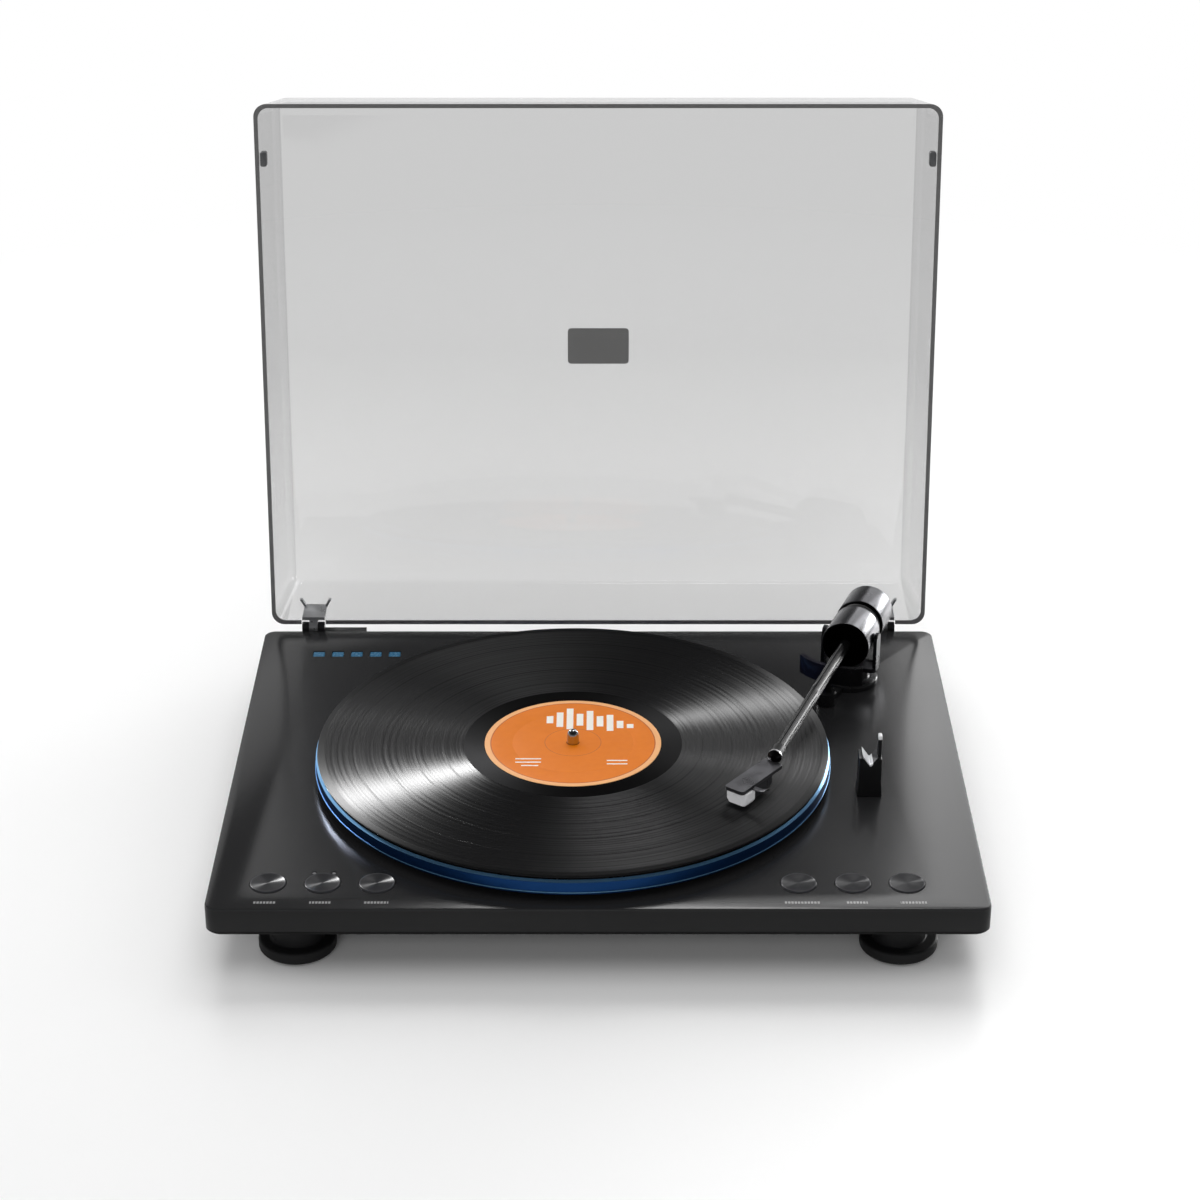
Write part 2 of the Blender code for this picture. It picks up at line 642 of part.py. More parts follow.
def build_pan(root, black):
    """The base pan: a plate inside the casing walls and a belly that hangs below it."""
    narrow = 2 * (CASING_WALL + PLINTH_FOOT_EDGE + RUN_GAP)
    plate = rounded(PLINTH_WIDTH - narrow, PLINTH_DEPTH - narrow, PLINTH_CORNER - CASING_WALL)
    pan = piece("base_pan", prism(plate, PAN_LOW, PAN_HIGH), black, root)
    skin = PAN_THICKNESS
    outer_top = rounded(BELLY_WIDTH, BELLY_DEPTH, BELLY_CORNER)
    outer_low = rounded(BELLY_WIDTH - 2 * BELLY_DRAFT, BELLY_DEPTH - 2 * BELLY_DRAFT, BELLY_CORNER)
    inner_top = rounded(BELLY_WIDTH - 2 * skin, BELLY_DEPTH - 2 * skin, BELLY_CORNER - skin)
    inner_low = rounded(BELLY_WIDTH - 2 * skin - 2 * BELLY_DRAFT, BELLY_DEPTH - 2 * skin - 2 * BELLY_DRAFT,
                        BELLY_CORNER - skin)
    fuse(pan, loft(((outer_low, BELLY_Z), (outer_top, PAN_LOW + skin / 2))))
    cut(pan, loft(((inner_low, BELLY_Z + skin), (inner_top, PAN_LOW + skin / 2),
                   (inner_top, PAN_HIGH + OVERRUN))))
    posts = bmesh.new()
    y = main_board_y()
    top = MAIN_BOARD_LOW - RUN_GAP
    for side in (-1, 1):
        x = MAIN_BOARD_X + side * (MAIN_BOARD_WIDTH / 2 - BOSS_RADIUS)
        prism(moved(circle(BOSS_RADIUS / 2, SMALL_SIDES), x, y), PAN_LOW + skin / 2, top, posts)
    fuse(pan, posts)
    return pan


def main_board_y():
    """Depth place of the main board's centre, just inside the rear wall."""
    return REAR_INNER_Y - JACK_BODY_DEPTH - MAIN_BOARD_GAP / 2 - MAIN_BOARD_DEPTH / 2


def lifter_place():
    """Centre of the lifter's post, under the arm's path."""
    turn = math.radians(180 + LIFTER_POST_DEG)
    return PIVOT_X + LIFTER_REACH * math.cos(turn), PIVOT_Y + LIFTER_REACH * math.sin(turn)


def build_feet(root, black, rubber):
    """Four feet: a neck, a wide disc with a round lower edge, and a rubber sole set into it."""
    recess = SOLE_THICKNESS - FOOT_BODY_LIFT + RUN_GAP
    body = [(0, FOOT_BODY_LIFT + recess), (SOLE_RADIUS + RUN_GAP, FOOT_BODY_LIFT + recess),
            (SOLE_RADIUS + RUN_GAP, FOOT_BODY_LIFT)]
    body += arc(FOOT_RADIUS - FOOT_EDGE, FOOT_BODY_LIFT + FOOT_EDGE, FOOT_EDGE, -90, 0, 2)
    body += arc(FOOT_RADIUS - FOOT_EDGE / 2, FOOT_DISC_HEIGHT - FOOT_EDGE / 2, FOOT_EDGE / 2, 0, 90, 1)
    body += [(FOOT_NECK_RADIUS, FOOT_DISC_HEIGHT), (FOOT_NECK_RADIUS, PAN_LOW - RUN_GAP),
             (0, PAN_LOW - RUN_GAP)]
    sole = [(0, 0), (SOLE_RADIUS - FOOT_EDGE / 4, 0), (SOLE_RADIUS, FOOT_EDGE / 4),
            (SOLE_RADIUS, SOLE_THICKNESS), (0, SOLE_THICKNESS)]
    for name, (x, y) in zip(FEET_NAMES, FEET_XY):
        piece("foot_" + name, turned(body), black, root, (x, y, 0))
        piece("foot_sole_" + name, turned(sole), rubber, root, (x, y, 0))


def build_platter(axis, metal, blue, rubber, vinyl, paper, steel):
    """Platter, its coloured band, mat, record with label, and the spindle they share."""
    rim_low = PLATTER_UNDERSIDE
    rim_in = PLATTER_RADIUS - PLATTER_RIM
    hub_low = PLATTER_PLATE_LOW - HUB_DROP
    drive_in = DRIVE_RADIUS - DRIVE_WALL
    platter = [(BORE_RADIUS, PLATTER_HIGH), (PLATTER_RADIUS - BAND_EDGE, PLATTER_HIGH),
               (PLATTER_RADIUS, PLATTER_HIGH - BAND_EDGE), (PLATTER_RADIUS, rim_low), (rim_in, rim_low),
               (rim_in, PLATTER_PLATE_LOW), (DRIVE_RADIUS, PLATTER_PLATE_LOW), (DRIVE_RADIUS, DRIVE_LOW),
               (drive_in, DRIVE_LOW), (drive_in, PLATTER_PLATE_LOW), (HUB_RADIUS, PLATTER_PLATE_LOW),
               (HUB_RADIUS, hub_low), (BORE_RADIUS, hub_low)]
    piece("platter", turned(platter, DISC_SIDES), metal, axis)
    band_in = PLATTER_RADIUS + RUN_GAP
    band_out = band_in + BAND_THICKNESS
    band = [(band_in, BAND_LOW), (band_out - BAND_EDGE, BAND_LOW), (band_out, BAND_LOW + BAND_EDGE),
            (band_out, BAND_HIGH - BAND_EDGE), (band_out - BAND_EDGE, BAND_HIGH), (band_in, BAND_HIGH)]
    piece("platter_band", turned(band, DISC_SIDES), blue, axis)
    mat = [(BORE_RADIUS, MAT_LOW), (MAT_RADIUS, MAT_LOW), (MAT_RADIUS, MAT_HIGH), (BORE_RADIUS, MAT_HIGH)]
    piece("platter_mat", turned(mat, DISC_SIDES), rubber, axis)
    seat = RECORD_TOP - LABEL_THICKNESS - RUN_GAP
    recess = LABEL_RADIUS + RUN_GAP
    record = [(BORE_RADIUS, RECORD_LOW), (RECORD_RADIUS - RECORD_DISH, RECORD_LOW),
              (RECORD_RADIUS, (RECORD_LOW + RECORD_TOP) / 2), (RECORD_RADIUS - RECORD_DISH, RECORD_TOP),
              (RECORD_RADIUS - RECORD_BEAD, RECORD_TOP),
              (RECORD_RADIUS - 2 * RECORD_BEAD, RECORD_TOP - RECORD_DISH),
              (RUNOUT_RADIUS, RECORD_TOP - RECORD_DISH), (recess, RECORD_TOP), (recess, seat),
              (BORE_RADIUS, seat)]
    piece("record", turned(record, DISC_SIDES), vinyl, axis)
    label = [(BORE_RADIUS, RECORD_TOP - LABEL_THICKNESS), (LABEL_RADIUS, RECORD_TOP - LABEL_THICKNESS),
             (LABEL_RADIUS, RECORD_TOP), (BORE_RADIUS, RECORD_TOP)]
    piece("record_label", turned(label, DISC_SIDES), paper, axis)
    tip = RECORD_TOP + SPINDLE_PROUD
    nose = [(out * SPINDLE_RADIUS, tip - down * SPINDLE_RADIUS) for out, down in SPINDLE_NOSE_SHARES]
    spindle = [(0, tip), *nose, (SPINDLE_RADIUS, tip - 2 * SPINDLE_RADIUS), (SPINDLE_RADIUS, -SPINDLE_DROP),
               (0, -SPINDLE_DROP)]
    piece("spindle", turned(spindle, SMALL_SIDES), steel, axis)


def build_drive(root, axis, pulley_axis, steel, brass, rubber):
    """Bearing bush, motor, stepped pulley and the flat belt round the platter's drive ring."""
    low = -SPINDLE_DROP - RUN_GAP
    bush = [(BORE_RADIUS, BUSH_FLANGE + RUN_GAP), (BUSH_FLANGE_RADIUS, BUSH_FLANGE + RUN_GAP),
            (BUSH_FLANGE_RADIUS, RUN_GAP), (BUSH_RADIUS, RUN_GAP), (BUSH_RADIUS, low - BUSH_FLOOR),
            (0, low - BUSH_FLOOR), (0, low), (BORE_RADIUS, low)]
    piece("bearing_bush", turned(bush), brass, axis.parent, axis.location)
    bore = MOTOR_SHAFT_RADIUS + RUN_GAP
    top = -DECK_THICKNESS - RUN_GAP
    foot = top - MOTOR_HEIGHT
    can = [(bore, top), (MOTOR_FLANGE_RADIUS, top), (MOTOR_FLANGE_RADIUS, top - MOTOR_FLANGE),
           (MOTOR_RADIUS, top - MOTOR_FLANGE), (MOTOR_RADIUS, foot + MOTOR_FLANGE),
           (MOTOR_RADIUS - MOTOR_FLANGE, foot), (0, foot), (0, -MOTOR_SHAFT_DROP - RUN_GAP),
           (bore, -MOTOR_SHAFT_DROP - RUN_GAP)]
    piece("motor", turned(can), steel, root, (MOTOR_X, MOTOR_Y, DECK_Z))
    lip = PULLEY_RADIUS + PULLEY_LIP
    pulley = [(0, PULLEY_HIGH), (lip, PULLEY_HIGH), (lip, PULLEY_HIGH - PULLEY_FLANGE / 2),
              (PULLEY_RADIUS, PULLEY_HIGH - PULLEY_FLANGE), (PULLEY_RADIUS, PULLEY_LOW + PULLEY_FLANGE),
              (lip, PULLEY_LOW + PULLEY_FLANGE / 2), (lip, PULLEY_LOW), (MOTOR_SHAFT_RADIUS, PULLEY_LOW),
              (MOTOR_SHAFT_RADIUS, -MOTOR_SHAFT_DROP), (0, -MOTOR_SHAFT_DROP)]
    piece("motor_pulley", turned(pulley), brass, pulley_axis)
    inner = belt_outline(RUN_GAP)
    outer = belt_outline(RUN_GAP + BELT_THICKNESS)
    belt = piece("drive_belt", prism(outer, BELT_LOW, BELT_HIGH), rubber, root,
                 (SPINDLE_X, SPINDLE_Y, DECK_Z), (0, 0, MOTOR_BEARING_DEG))
    cut(belt, prism(inner, BELT_LOW - OVERRUN, BELT_HIGH + OVERRUN))


def belt_outline(gap):
    """The belt's line round the drive ring and the pulley, at a gap outside both."""
    lean = math.degrees(math.acos((DRIVE_RADIUS - PULLEY_RADIUS) / MOTOR_REACH))
    large = arc(0, 0, DRIVE_RADIUS + gap, lean, 360 - lean, DISC_SIDES)
    small = arc(MOTOR_REACH, 0, PULLEY_RADIUS + gap, -lean, lean, SMALL_SIDES)
    return large + small


def build_buttons(root, black, metal, green):
    """Six flush push buttons with retaining flanges, over switches on two boards."""
    stem_low = -BUTTON_BOARD_DROP + SWITCH_HEIGHT + BUTTON_TRAVEL + RUN_GAP
    for x, name in zip(BUTTON_X, BUTTON_NAMES):
        rest = pivot("button_guide_" + name, root, (x, BUTTON_Y, DECK_Z))
        flange = BUTTON_RADIUS + BUTTON_FLANGE
        under = -DECK_THICKNESS - RUN_GAP
        cap = [(0, BUTTON_PROUD - BUTTON_DISH), (BUTTON_RADIUS - BUTTON_DISH, BUTTON_PROUD),
               (BUTTON_RADIUS, BUTTON_PROUD - BUTTON_DISH), (BUTTON_RADIUS, under), (flange, under),
               (flange, under - BUTTON_FLANGE_THICKNESS),
               (BUTTON_STEM_RADIUS, under - BUTTON_FLANGE_THICKNESS),
               (BUTTON_STEM_RADIUS, stem_low), (0, stem_low)]
        piece("button_" + name, turned(cap), metal, rest)
    top = DECK_Z - BUTTON_BOARD_DROP
    for first, side in ((0, "left"), (3, "right")):
        middle, width = board_span(first)
        plate = moved(box(width, BUTTON_BOARD_DEPTH), middle, BUTTON_Y)
        board = piece("button_board_" + side, prism(plate, top - BOARD_THICKNESS, top), green, root)
        switches = bmesh.new()
        for x in BUTTON_X[first:first + 3]:
            prism(moved(box(SWITCH_WIDTH, SWITCH_WIDTH), x, BUTTON_Y), top - BOARD_THICKNESS / 2,
                  top + SWITCH_HEIGHT, switches)
        fuse(board, switches)


def build_lights(root, clear):
    """Lit bars flush with the deck on one light guide, and two speed lights on another."""
    low = CEILING_Z - RUN_GAP - GLOW_BACK
    back = moved(box(GLOW_SPAN + GLOW_BAR_WIDTH, 2 * GLOW_BAR_DEPTH), GLOW_X, GLOW_Y)
    bars = piece("deck_light_bars", prism(back, low, CEILING_Z - RUN_GAP), clear, root)
    lenses = bmesh.new()
    for x in glow_places():
        prism(moved(box(GLOW_BAR_WIDTH, GLOW_BAR_DEPTH), x, GLOW_Y), low + GLOW_BACK / 2,
              DECK_Z - RUN_GAP, lenses)
    fuse(bars, lenses)
    back = moved(box(4 * SPEED_LIGHT_SPREAD, 4 * SPEED_LIGHT_RADIUS), BUTTON_X[1],
                 SPEED_LIGHT_Y + SPEED_GUIDE_BEHIND)
    rods = piece("speed_lights", prism(back, low, CEILING_Z - RUN_GAP - BUTTON_FLANGE_THICKNESS), clear, root)
    tips = bmesh.new()
    for side in (-1, 1):
        outline = moved(circle(SPEED_LIGHT_RADIUS, SMALL_SIDES), BUTTON_X[1] + side * SPEED_LIGHT_SPREAD,
                        SPEED_LIGHT_Y)
        prism(outline, low + GLOW_BACK / 4, DECK_Z - RUN_GAP, tips)
    fuse(rods, tips)


def build_rear_board(root, black, green, gold, steel):
    """Main board with its parts, and the sockets, post and switch that it feeds on the rear wall."""
    low = MAIN_BOARD_LOW
    y = main_board_y()
    board = piece("main_board", prism(moved(box(MAIN_BOARD_WIDTH, MAIN_BOARD_DEPTH), MAIN_BOARD_X, y), low,
                                      low + BOARD_THICKNESS), green, root)
    parts = bmesh.new()
    for share in PART_PLACE_SHARES:
        x = MAIN_BOARD_X + share * MAIN_BOARD_WIDTH
        prism(moved(box(CHIP_WIDTH, CHIP_WIDTH), x, y - CHIP_WIDTH / 2), low + BOARD_THICKNESS / 2,
              low + BOARD_THICKNESS + CHIP_HEIGHT, parts)
        prism(moved(circle(CAN_RADIUS, SMALL_SIDES), x + CHIP_WIDTH, y + CHIP_WIDTH / 2),
              low + BOARD_THICKNESS / 2, low + CAN_HEIGHT, parts)
    fuse(board, parts)
    back = -REAR_INNER_Y + RUN_GAP
    body = prism(box(2 * JACK_PITCH, JACK_BODY_HEIGHT), back, back + JACK_BODY_DEPTH)
    jacks = piece("phono_jacks", body, black, root, (JACK_X, 0, SOCKET_Z), (90, 0, 0))
    collars = bmesh.new()
    for side in (-1, 1):
        x = side * JACK_PITCH / 2
        prism(moved(circle(JACK_COLLAR, SMALL_SIDES), x, 0), -REAR_Y - JACK_COLLAR_DEPTH,
              back + JACK_BODY_DEPTH / 4, collars)
    fuse(jacks, collars)
    sleeves = bmesh.new()
    for side in (-1, 1):
        x = side * JACK_PITCH / 2
        prism(moved(circle(JACK_RADIUS, SMALL_SIDES), x, 0), -REAR_Y - JACK_REACH,
              back + JACK_BODY_DEPTH / 5, sleeves)
    fuse(jacks, sleeves)
    bores = bmesh.new()
    for side in (-1, 1):
        x = side * JACK_PITCH / 2
        prism(moved(circle(JACK_BORE, SMALL_SIDES), x, 0), -REAR_Y - JACK_REACH - OVERRUN,
              back + JACK_BODY_DEPTH / 6, bores)
    cut(jacks, bores)
    out = -REAR_Y
    post = [(0, out - GROUND_REACH), (GROUND_RADIUS - GROUND_STEM / 4, out - GROUND_REACH),
            (GROUND_RADIUS, out - GROUND_REACH + GROUND_STEM / 4), (GROUND_RADIUS, out - RUN_GAP),
            (GROUND_STEM, out - RUN_GAP), (GROUND_STEM, back), (GROUND_RADIUS, back),
            (GROUND_RADIUS, back + GROUND_STEM), (0, back + GROUND_STEM)]
    piece("ground_post", turned(post, SMALL_SIDES), gold, root, (GROUND_X, 0, SOCKET_Z), (90, 0, 0))
    inlet = [(POWER_BORE, out - RUN_GAP), (POWER_RADIUS, out - RUN_GAP), (POWER_RADIUS, back + POWER_BODY),
             (0, back + POWER_BODY), (0, out + RUN_GAP), (POWER_PIN, out + RUN_GAP),
             (POWER_PIN, back + POWER_BODY / 2), (POWER_BORE, back + POWER_BODY / 2)]
    piece("power_inlet", turned(inlet, SMALL_SIDES), black, root, (POWER_X, 0, SOCKET_Z), (90, 0, 0))
    body = box(LINE_SLOT_WIDTH + 4 * LINE_KNOB_WIDTH, 2 * LINE_SLOT_HEIGHT)
    switch = piece("line_switch_body", prism(body, back, back + LINE_SLOT_WIDTH), black, root,
                   (LINE_X, 0, SOCKET_Z), (90, 0, 0))
    cut(switch, prism(box(LINE_SLOT_WIDTH, LINE_SLOT_HEIGHT), back - OVERRUN, back + LINE_KNOB_REACH))
    slide = pivot("line_switch_slide", root, (LINE_X, 0, SOCKET_Z), (90, 0, 0))
    start = LINE_TRAVEL / 2
    knob = prism(moved(box(LINE_KNOB_WIDTH, LINE_SLOT_HEIGHT - 2 * RUN_GAP), -start, 0),
                 out - LINE_KNOB_REACH, back + LINE_KNOB_REACH - RUN_GAP)
    piece("line_switch_knob", knob, black, slide)


def build_arm_base(root, black, lifter_axis):
    """Fixed base of the tonearm with its bearing pillar and the guide of the lifter's post."""
    bore = PIVOT_SHAFT_RADIUS + RUN_GAP
    low = -DECK_THICKNESS - PIVOT_SHAFT_DROP
    base = [(bore, PILLAR_HEIGHT), (PILLAR_RADIUS, PILLAR_HEIGHT), (PILLAR_RADIUS, BASE_FLANGE),
            (BASE_RADIUS - BASE_EDGE, BASE_FLANGE), (BASE_RADIUS, BASE_FLANGE - BASE_EDGE),
            (BASE_RADIUS, RUN_GAP), (PIVOT_SLEEVE_RADIUS, RUN_GAP), (PIVOT_SLEEVE_RADIUS, low), (bore, low)]
    base = piece("arm_base", turned(base), black, root, (PIVOT_X, PIVOT_Y, DECK_Z))
    guide_x = LIFTER_REACH * math.cos(math.radians(180 + LIFTER_POST_DEG))
    guide_y = LIFTER_REACH * math.sin(math.radians(180 + LIFTER_POST_DEG))
    web = shift_mesh(prism(box(LIFTER_REACH - PILLAR_RADIUS, LIFTER_GUIDE_RADIUS), 2 * RUN_GAP,
                           BASE_FLANGE - BASE_EDGE),
                     (LIFTER_REACH + PILLAR_RADIUS) / 2)
    fuse(base, turn_mesh(web, 180 + LIFTER_POST_DEG, "Z"))
    guide = circle(LIFTER_GUIDE_RADIUS, SMALL_SIDES)
    fuse(base, prism(guide, RUN_GAP, LIFTER_GUIDE_HEIGHT), (guide_x, guide_y, 0))
    under = circle(LIFTER_GUIDE_RADIUS - 2 * RUN_GAP, SMALL_SIDES)
    fuse(base, prism(under, -LIFTER_POST_DROP, BASE_FLANGE / 2), (guide_x, guide_y, 0))
    hole = circle(LIFTER_POST_RADIUS + RUN_GAP, SMALL_SIDES)
    cut(base, prism(hole, -LIFTER_POST_DROP - OVERRUN, LIFTER_GUIDE_HEIGHT + OVERRUN), (guide_x, guide_y, 0))
    inner, outer = LIFTER_REACH - LIFTER_WALL / 2, LIFTER_REACH + LIFTER_WALL / 2
    start, end = 180 + LIFTER_START_DEG, 180 + LIFTER_END_DEG
    blade = arc(0, 0, outer, start, end, SMALL_SIDES) + arc(0, 0, inner, end, start, SMALL_SIDES)
    lifter = piece("arm_lifter", prism(blade, LIFTER_TOP - LIFTER_HEIGHT, LIFTER_TOP), black, lifter_axis)
    post = circle(LIFTER_POST_RADIUS, SMALL_SIDES)
    fuse(lifter, prism(post, -LIFTER_POST_DROP + RUN_GAP, LIFTER_TOP - LIFTER_HEIGHT / 2),
         (guide_x, guide_y, 0))


def build_yoke(swing, metal):
    """Fork that turns on the vertical shaft and carries the drum on two gimbal pins."""
    side = DRUM_RADIUS + YOKE_GAP
    low = PILLAR_HEIGHT - PIVOT_HEIGHT + RUN_GAP
    plate = rounded(2 * (side + YOKE_ARM), YOKE_DEPTH, YOKE_DEPTH / 3)
    yoke = piece("arm_yoke", prism(plate, low, low + YOKE_PLATE), metal, swing)
    head = arc(0, 0, YOKE_HEAD_RADIUS, 0, 180, ROUND_SIDES // 2)
    outline = head + [(-YOKE_HEAD_RADIUS, low + YOKE_PLATE / 2), (YOKE_HEAD_RADIUS, low + YOKE_PLATE / 2)]
    arms = bmesh.new()
    for edge in (side, -side - YOKE_ARM):
        prism(outline, edge, edge + YOKE_ARM, arms)
    stand = Matrix(((0, 0, 1), (1, 0, 0), (0, 1, 0)))
    bmesh.ops.transform(arms, matrix=stand.to_4x4(), verts=arms.verts)
    fuse(yoke, arms)
    pins = bmesh.new()
    tip = DRUM_RADIUS - GIMBAL_PIN_DEPTH + RUN_GAP
    for near, far in ((tip, side + YOKE_ARM / 2), (-side - YOKE_ARM / 2, -tip)):
        prism(circle(GIMBAL_PIN_RADIUS, SMALL_SIDES), near, far, pins)
    bmesh.ops.transform(pins, matrix=stand.to_4x4(), verts=pins.verts)
    fuse(yoke, pins)
    shaft = circle(PIVOT_SHAFT_RADIUS, SMALL_SIDES)
    foot = -PIVOT_HEIGHT - DECK_THICKNESS - PIVOT_SHAFT_DROP
    fuse(yoke, prism(shaft, foot, low + YOKE_PLATE / 2))


def build_arm(lift, black, metal, silver, plastic):
    """Drum, tube, headshell, finger lift, cartridge and stylus guard, which rise together."""
    half = DRUM_LENGTH / 2
    back = -half + DRUM_EDGE
    drum = [(TUBE_RADIUS + RUN_GAP, -half + DRUM_FACE_STEP),
            (DRUM_RADIUS - 2 * DRUM_EDGE, -half + DRUM_FACE_STEP),
            (DRUM_RADIUS - 2 * DRUM_EDGE, -half), (DRUM_RADIUS - DRUM_EDGE, -half), (DRUM_RADIUS, back),
            (DRUM_RADIUS, -back), (DRUM_RADIUS - DRUM_EDGE, half), (0, half), (0, 0),
            (TUBE_RADIUS + RUN_GAP, 0)]
    drum = piece("arm_drum", turned(drum), black, lift, rotation=(-90, 0, 0))
    sockets = bmesh.new()
    hole = circle(GIMBAL_PIN_RADIUS + RUN_GAP, SMALL_SIDES)
    for near, far in ((DRUM_RADIUS - GIMBAL_PIN_DEPTH, DRUM_RADIUS + OVERRUN),
                      (-DRUM_RADIUS - OVERRUN, GIMBAL_PIN_DEPTH - DRUM_RADIUS)):
        prism(hole, near, far, sockets)
    cut(drum, turn_mesh(sockets, 90, "Y"))
    tube = [(TUBE_BORE, -TUBE_TIP), (TUBE_RADIUS, -TUBE_TIP), (TUBE_RADIUS, -RUN_GAP), (0, -RUN_GAP),
            (0, -half), (TUBE_BORE, -half)]
    piece("arm_tube", turned(tube, SMALL_SIDES), black, lift, rotation=(-90, 0, 0))
    shell = moved(rounded(SHELL_WIDTH, SHELL_LENGTH, SHELL_CORNER), 0, -SHELL_LENGTH / 2)
    low, top = SHELL_LOW - PIVOT_HEIGHT, SHELL_TOP - PIVOT_HEIGHT
    head = pivot("headshell_seat", lift, (0, -SHELL_REAR, 0), (0, 0, -SHELL_OFFSET_DEG))
    headshell = piece("headshell", prism(shell, low, top), metal, head)
    collar = [(TUBE_RADIUS + RUN_GAP, -TUBE_TIP - RUN_GAP), (0, -TUBE_TIP - RUN_GAP),
              (0, -TUBE_TIP - 2 * TUBE_BORE), (COLLAR_RADIUS - TUBE_BORE, -TUBE_TIP - 2 * TUBE_BORE),
              (COLLAR_RADIUS, -TUBE_TIP - TUBE_BORE), (COLLAR_RADIUS, -TUBE_TIP + COLLAR_LENGTH),
              (TUBE_RADIUS + RUN_GAP, -TUBE_TIP + COLLAR_LENGTH)]
    ring = turn_mesh(turned(collar), -90, "X")
    ring = turn_mesh(shift_mesh(ring, y=SHELL_REAR), SHELL_OFFSET_DEG, "Z")
    fuse(headshell, ring)
    finger_y = FINGER_BACK - SHELL_LENGTH
    finger = [(0, 0), (FINGER_LENGTH * FINGER_BEND_SHARE, 0), (FINGER_LENGTH, FINGER_RISE),
              (FINGER_LENGTH, FINGER_RISE + FINGER_THICKNESS),
              (FINGER_LENGTH * FINGER_BEND_SHARE, FINGER_THICKNESS),
              (0, FINGER_THICKNESS)]
    tab = turn_mesh(prism(finger, -FINGER_WIDTH / 2, FINGER_WIDTH / 2), 90, "X")
    piece("finger_lift", tab, metal, head, (SHELL_WIDTH / 2 + RUN_GAP, finger_y, low))
    front = GUARD_PROUD - SHELL_LENGTH
    seat = low - RUN_GAP
    behind = front + GUARD_LENGTH + RUN_GAP
    body = moved(box(CARTRIDGE_WIDTH, CARTRIDGE_LENGTH), 0, behind + CARTRIDGE_LENGTH / 2)
    narrow = moved(box(CARTRIDGE_FOOT_WIDTH, CARTRIDGE_FOOT_LENGTH), 0, behind + CARTRIDGE_FOOT_LENGTH / 2)
    body = ((narrow, seat - CARTRIDGE_HEIGHT), (body, seat - CARTRIDGE_STEP), (body, seat))
    piece("cartridge", loft(body), plastic, head)
    guard_low = STYLUS_TIP + GUARD_FLOOR - PIVOT_HEIGHT
    half = GUARD_WIDTH / 2
    nose = [(half, front + GUARD_LENGTH), (-half, front + GUARD_LENGTH), (-half, front + GUARD_NOSE),
            (-half / 2, front), (half / 2, front), (half, front + GUARD_NOSE)]
    tucked = [(x * GUARD_TUCK_SHARE, y) for x, y in nose]
    shield = loft(((tucked, guard_low), (nose, guard_low + GUARD_NOSE), (nose, seat)))
    guard = piece("stylus_guard", shield, silver, head)
    stylus = [(0, seat - GUARD_NOSE), (STYLUS_RADIUS, seat - GUARD_NOSE),
              (STYLUS_RADIUS, guard_low - STYLUS_RADIUS), (0, STYLUS_TIP - PIVOT_HEIGHT)]
    fuse(guard, turned(stylus, SMALL_SIDES), (0, front + STYLUS_BACK + GUARD_NOSE, 0))
    stub = [(0, half_drum() + RUN_GAP), (STUB_RADIUS, half_drum() + RUN_GAP),
            (STUB_RADIUS, half_drum() + STUB_LENGTH), (0, half_drum() + STUB_LENGTH)]
    piece("arm_stub", turned(stub), metal, lift, rotation=(-90, 0, 0))


def half_drum():
    """Half of the drum's length, where its rear face lies behind the pivot."""
    return DRUM_LENGTH / 2


def build_weight(slide, spin, metal, rubber):
    """Counterweight that screws along the stub on a bushing, with a groove between two lands."""
    start = half_drum() + WEIGHT_GAP
    front = start - RUN_GAP - BUSHING_FLANGE
    bushing = [(STUB_RADIUS + RUN_GAP, front), (BUSHING_FLANGE_RADIUS, front),
               (BUSHING_FLANGE_RADIUS, start - RUN_GAP), (BUSHING_RADIUS, start - RUN_GAP),
               (BUSHING_RADIUS, start + BUSHING_LENGTH), (STUB_RADIUS + RUN_GAP, start + BUSHING_LENGTH)]
    piece("weight_bushing", turned(bushing), rubber, slide, rotation=(-90, 0, 0))
    end = start + WEIGHT_LENGTH
    bore = BUSHING_RADIUS + RUN_GAP
    middle = (start + end) / 2
    weight = [(bore, start), (WEIGHT_RADIUS - WEIGHT_EDGE, start), (WEIGHT_RADIUS, start + WEIGHT_EDGE),
              (WEIGHT_RADIUS, middle - WEIGHT_EDGE),
              (WEIGHT_RADIUS - WEIGHT_GROOVE, middle - WEIGHT_EDGE / 2),
              (WEIGHT_RADIUS - WEIGHT_GROOVE, middle + WEIGHT_EDGE / 2),
              (WEIGHT_RADIUS, middle + WEIGHT_EDGE),
              (WEIGHT_RADIUS, end - WEIGHT_EDGE), (WEIGHT_RADIUS - WEIGHT_EDGE, end), (bore, end)]
    piece("counterweight", turned(weight), metal, spin, rotation=(-90, 0, 0))


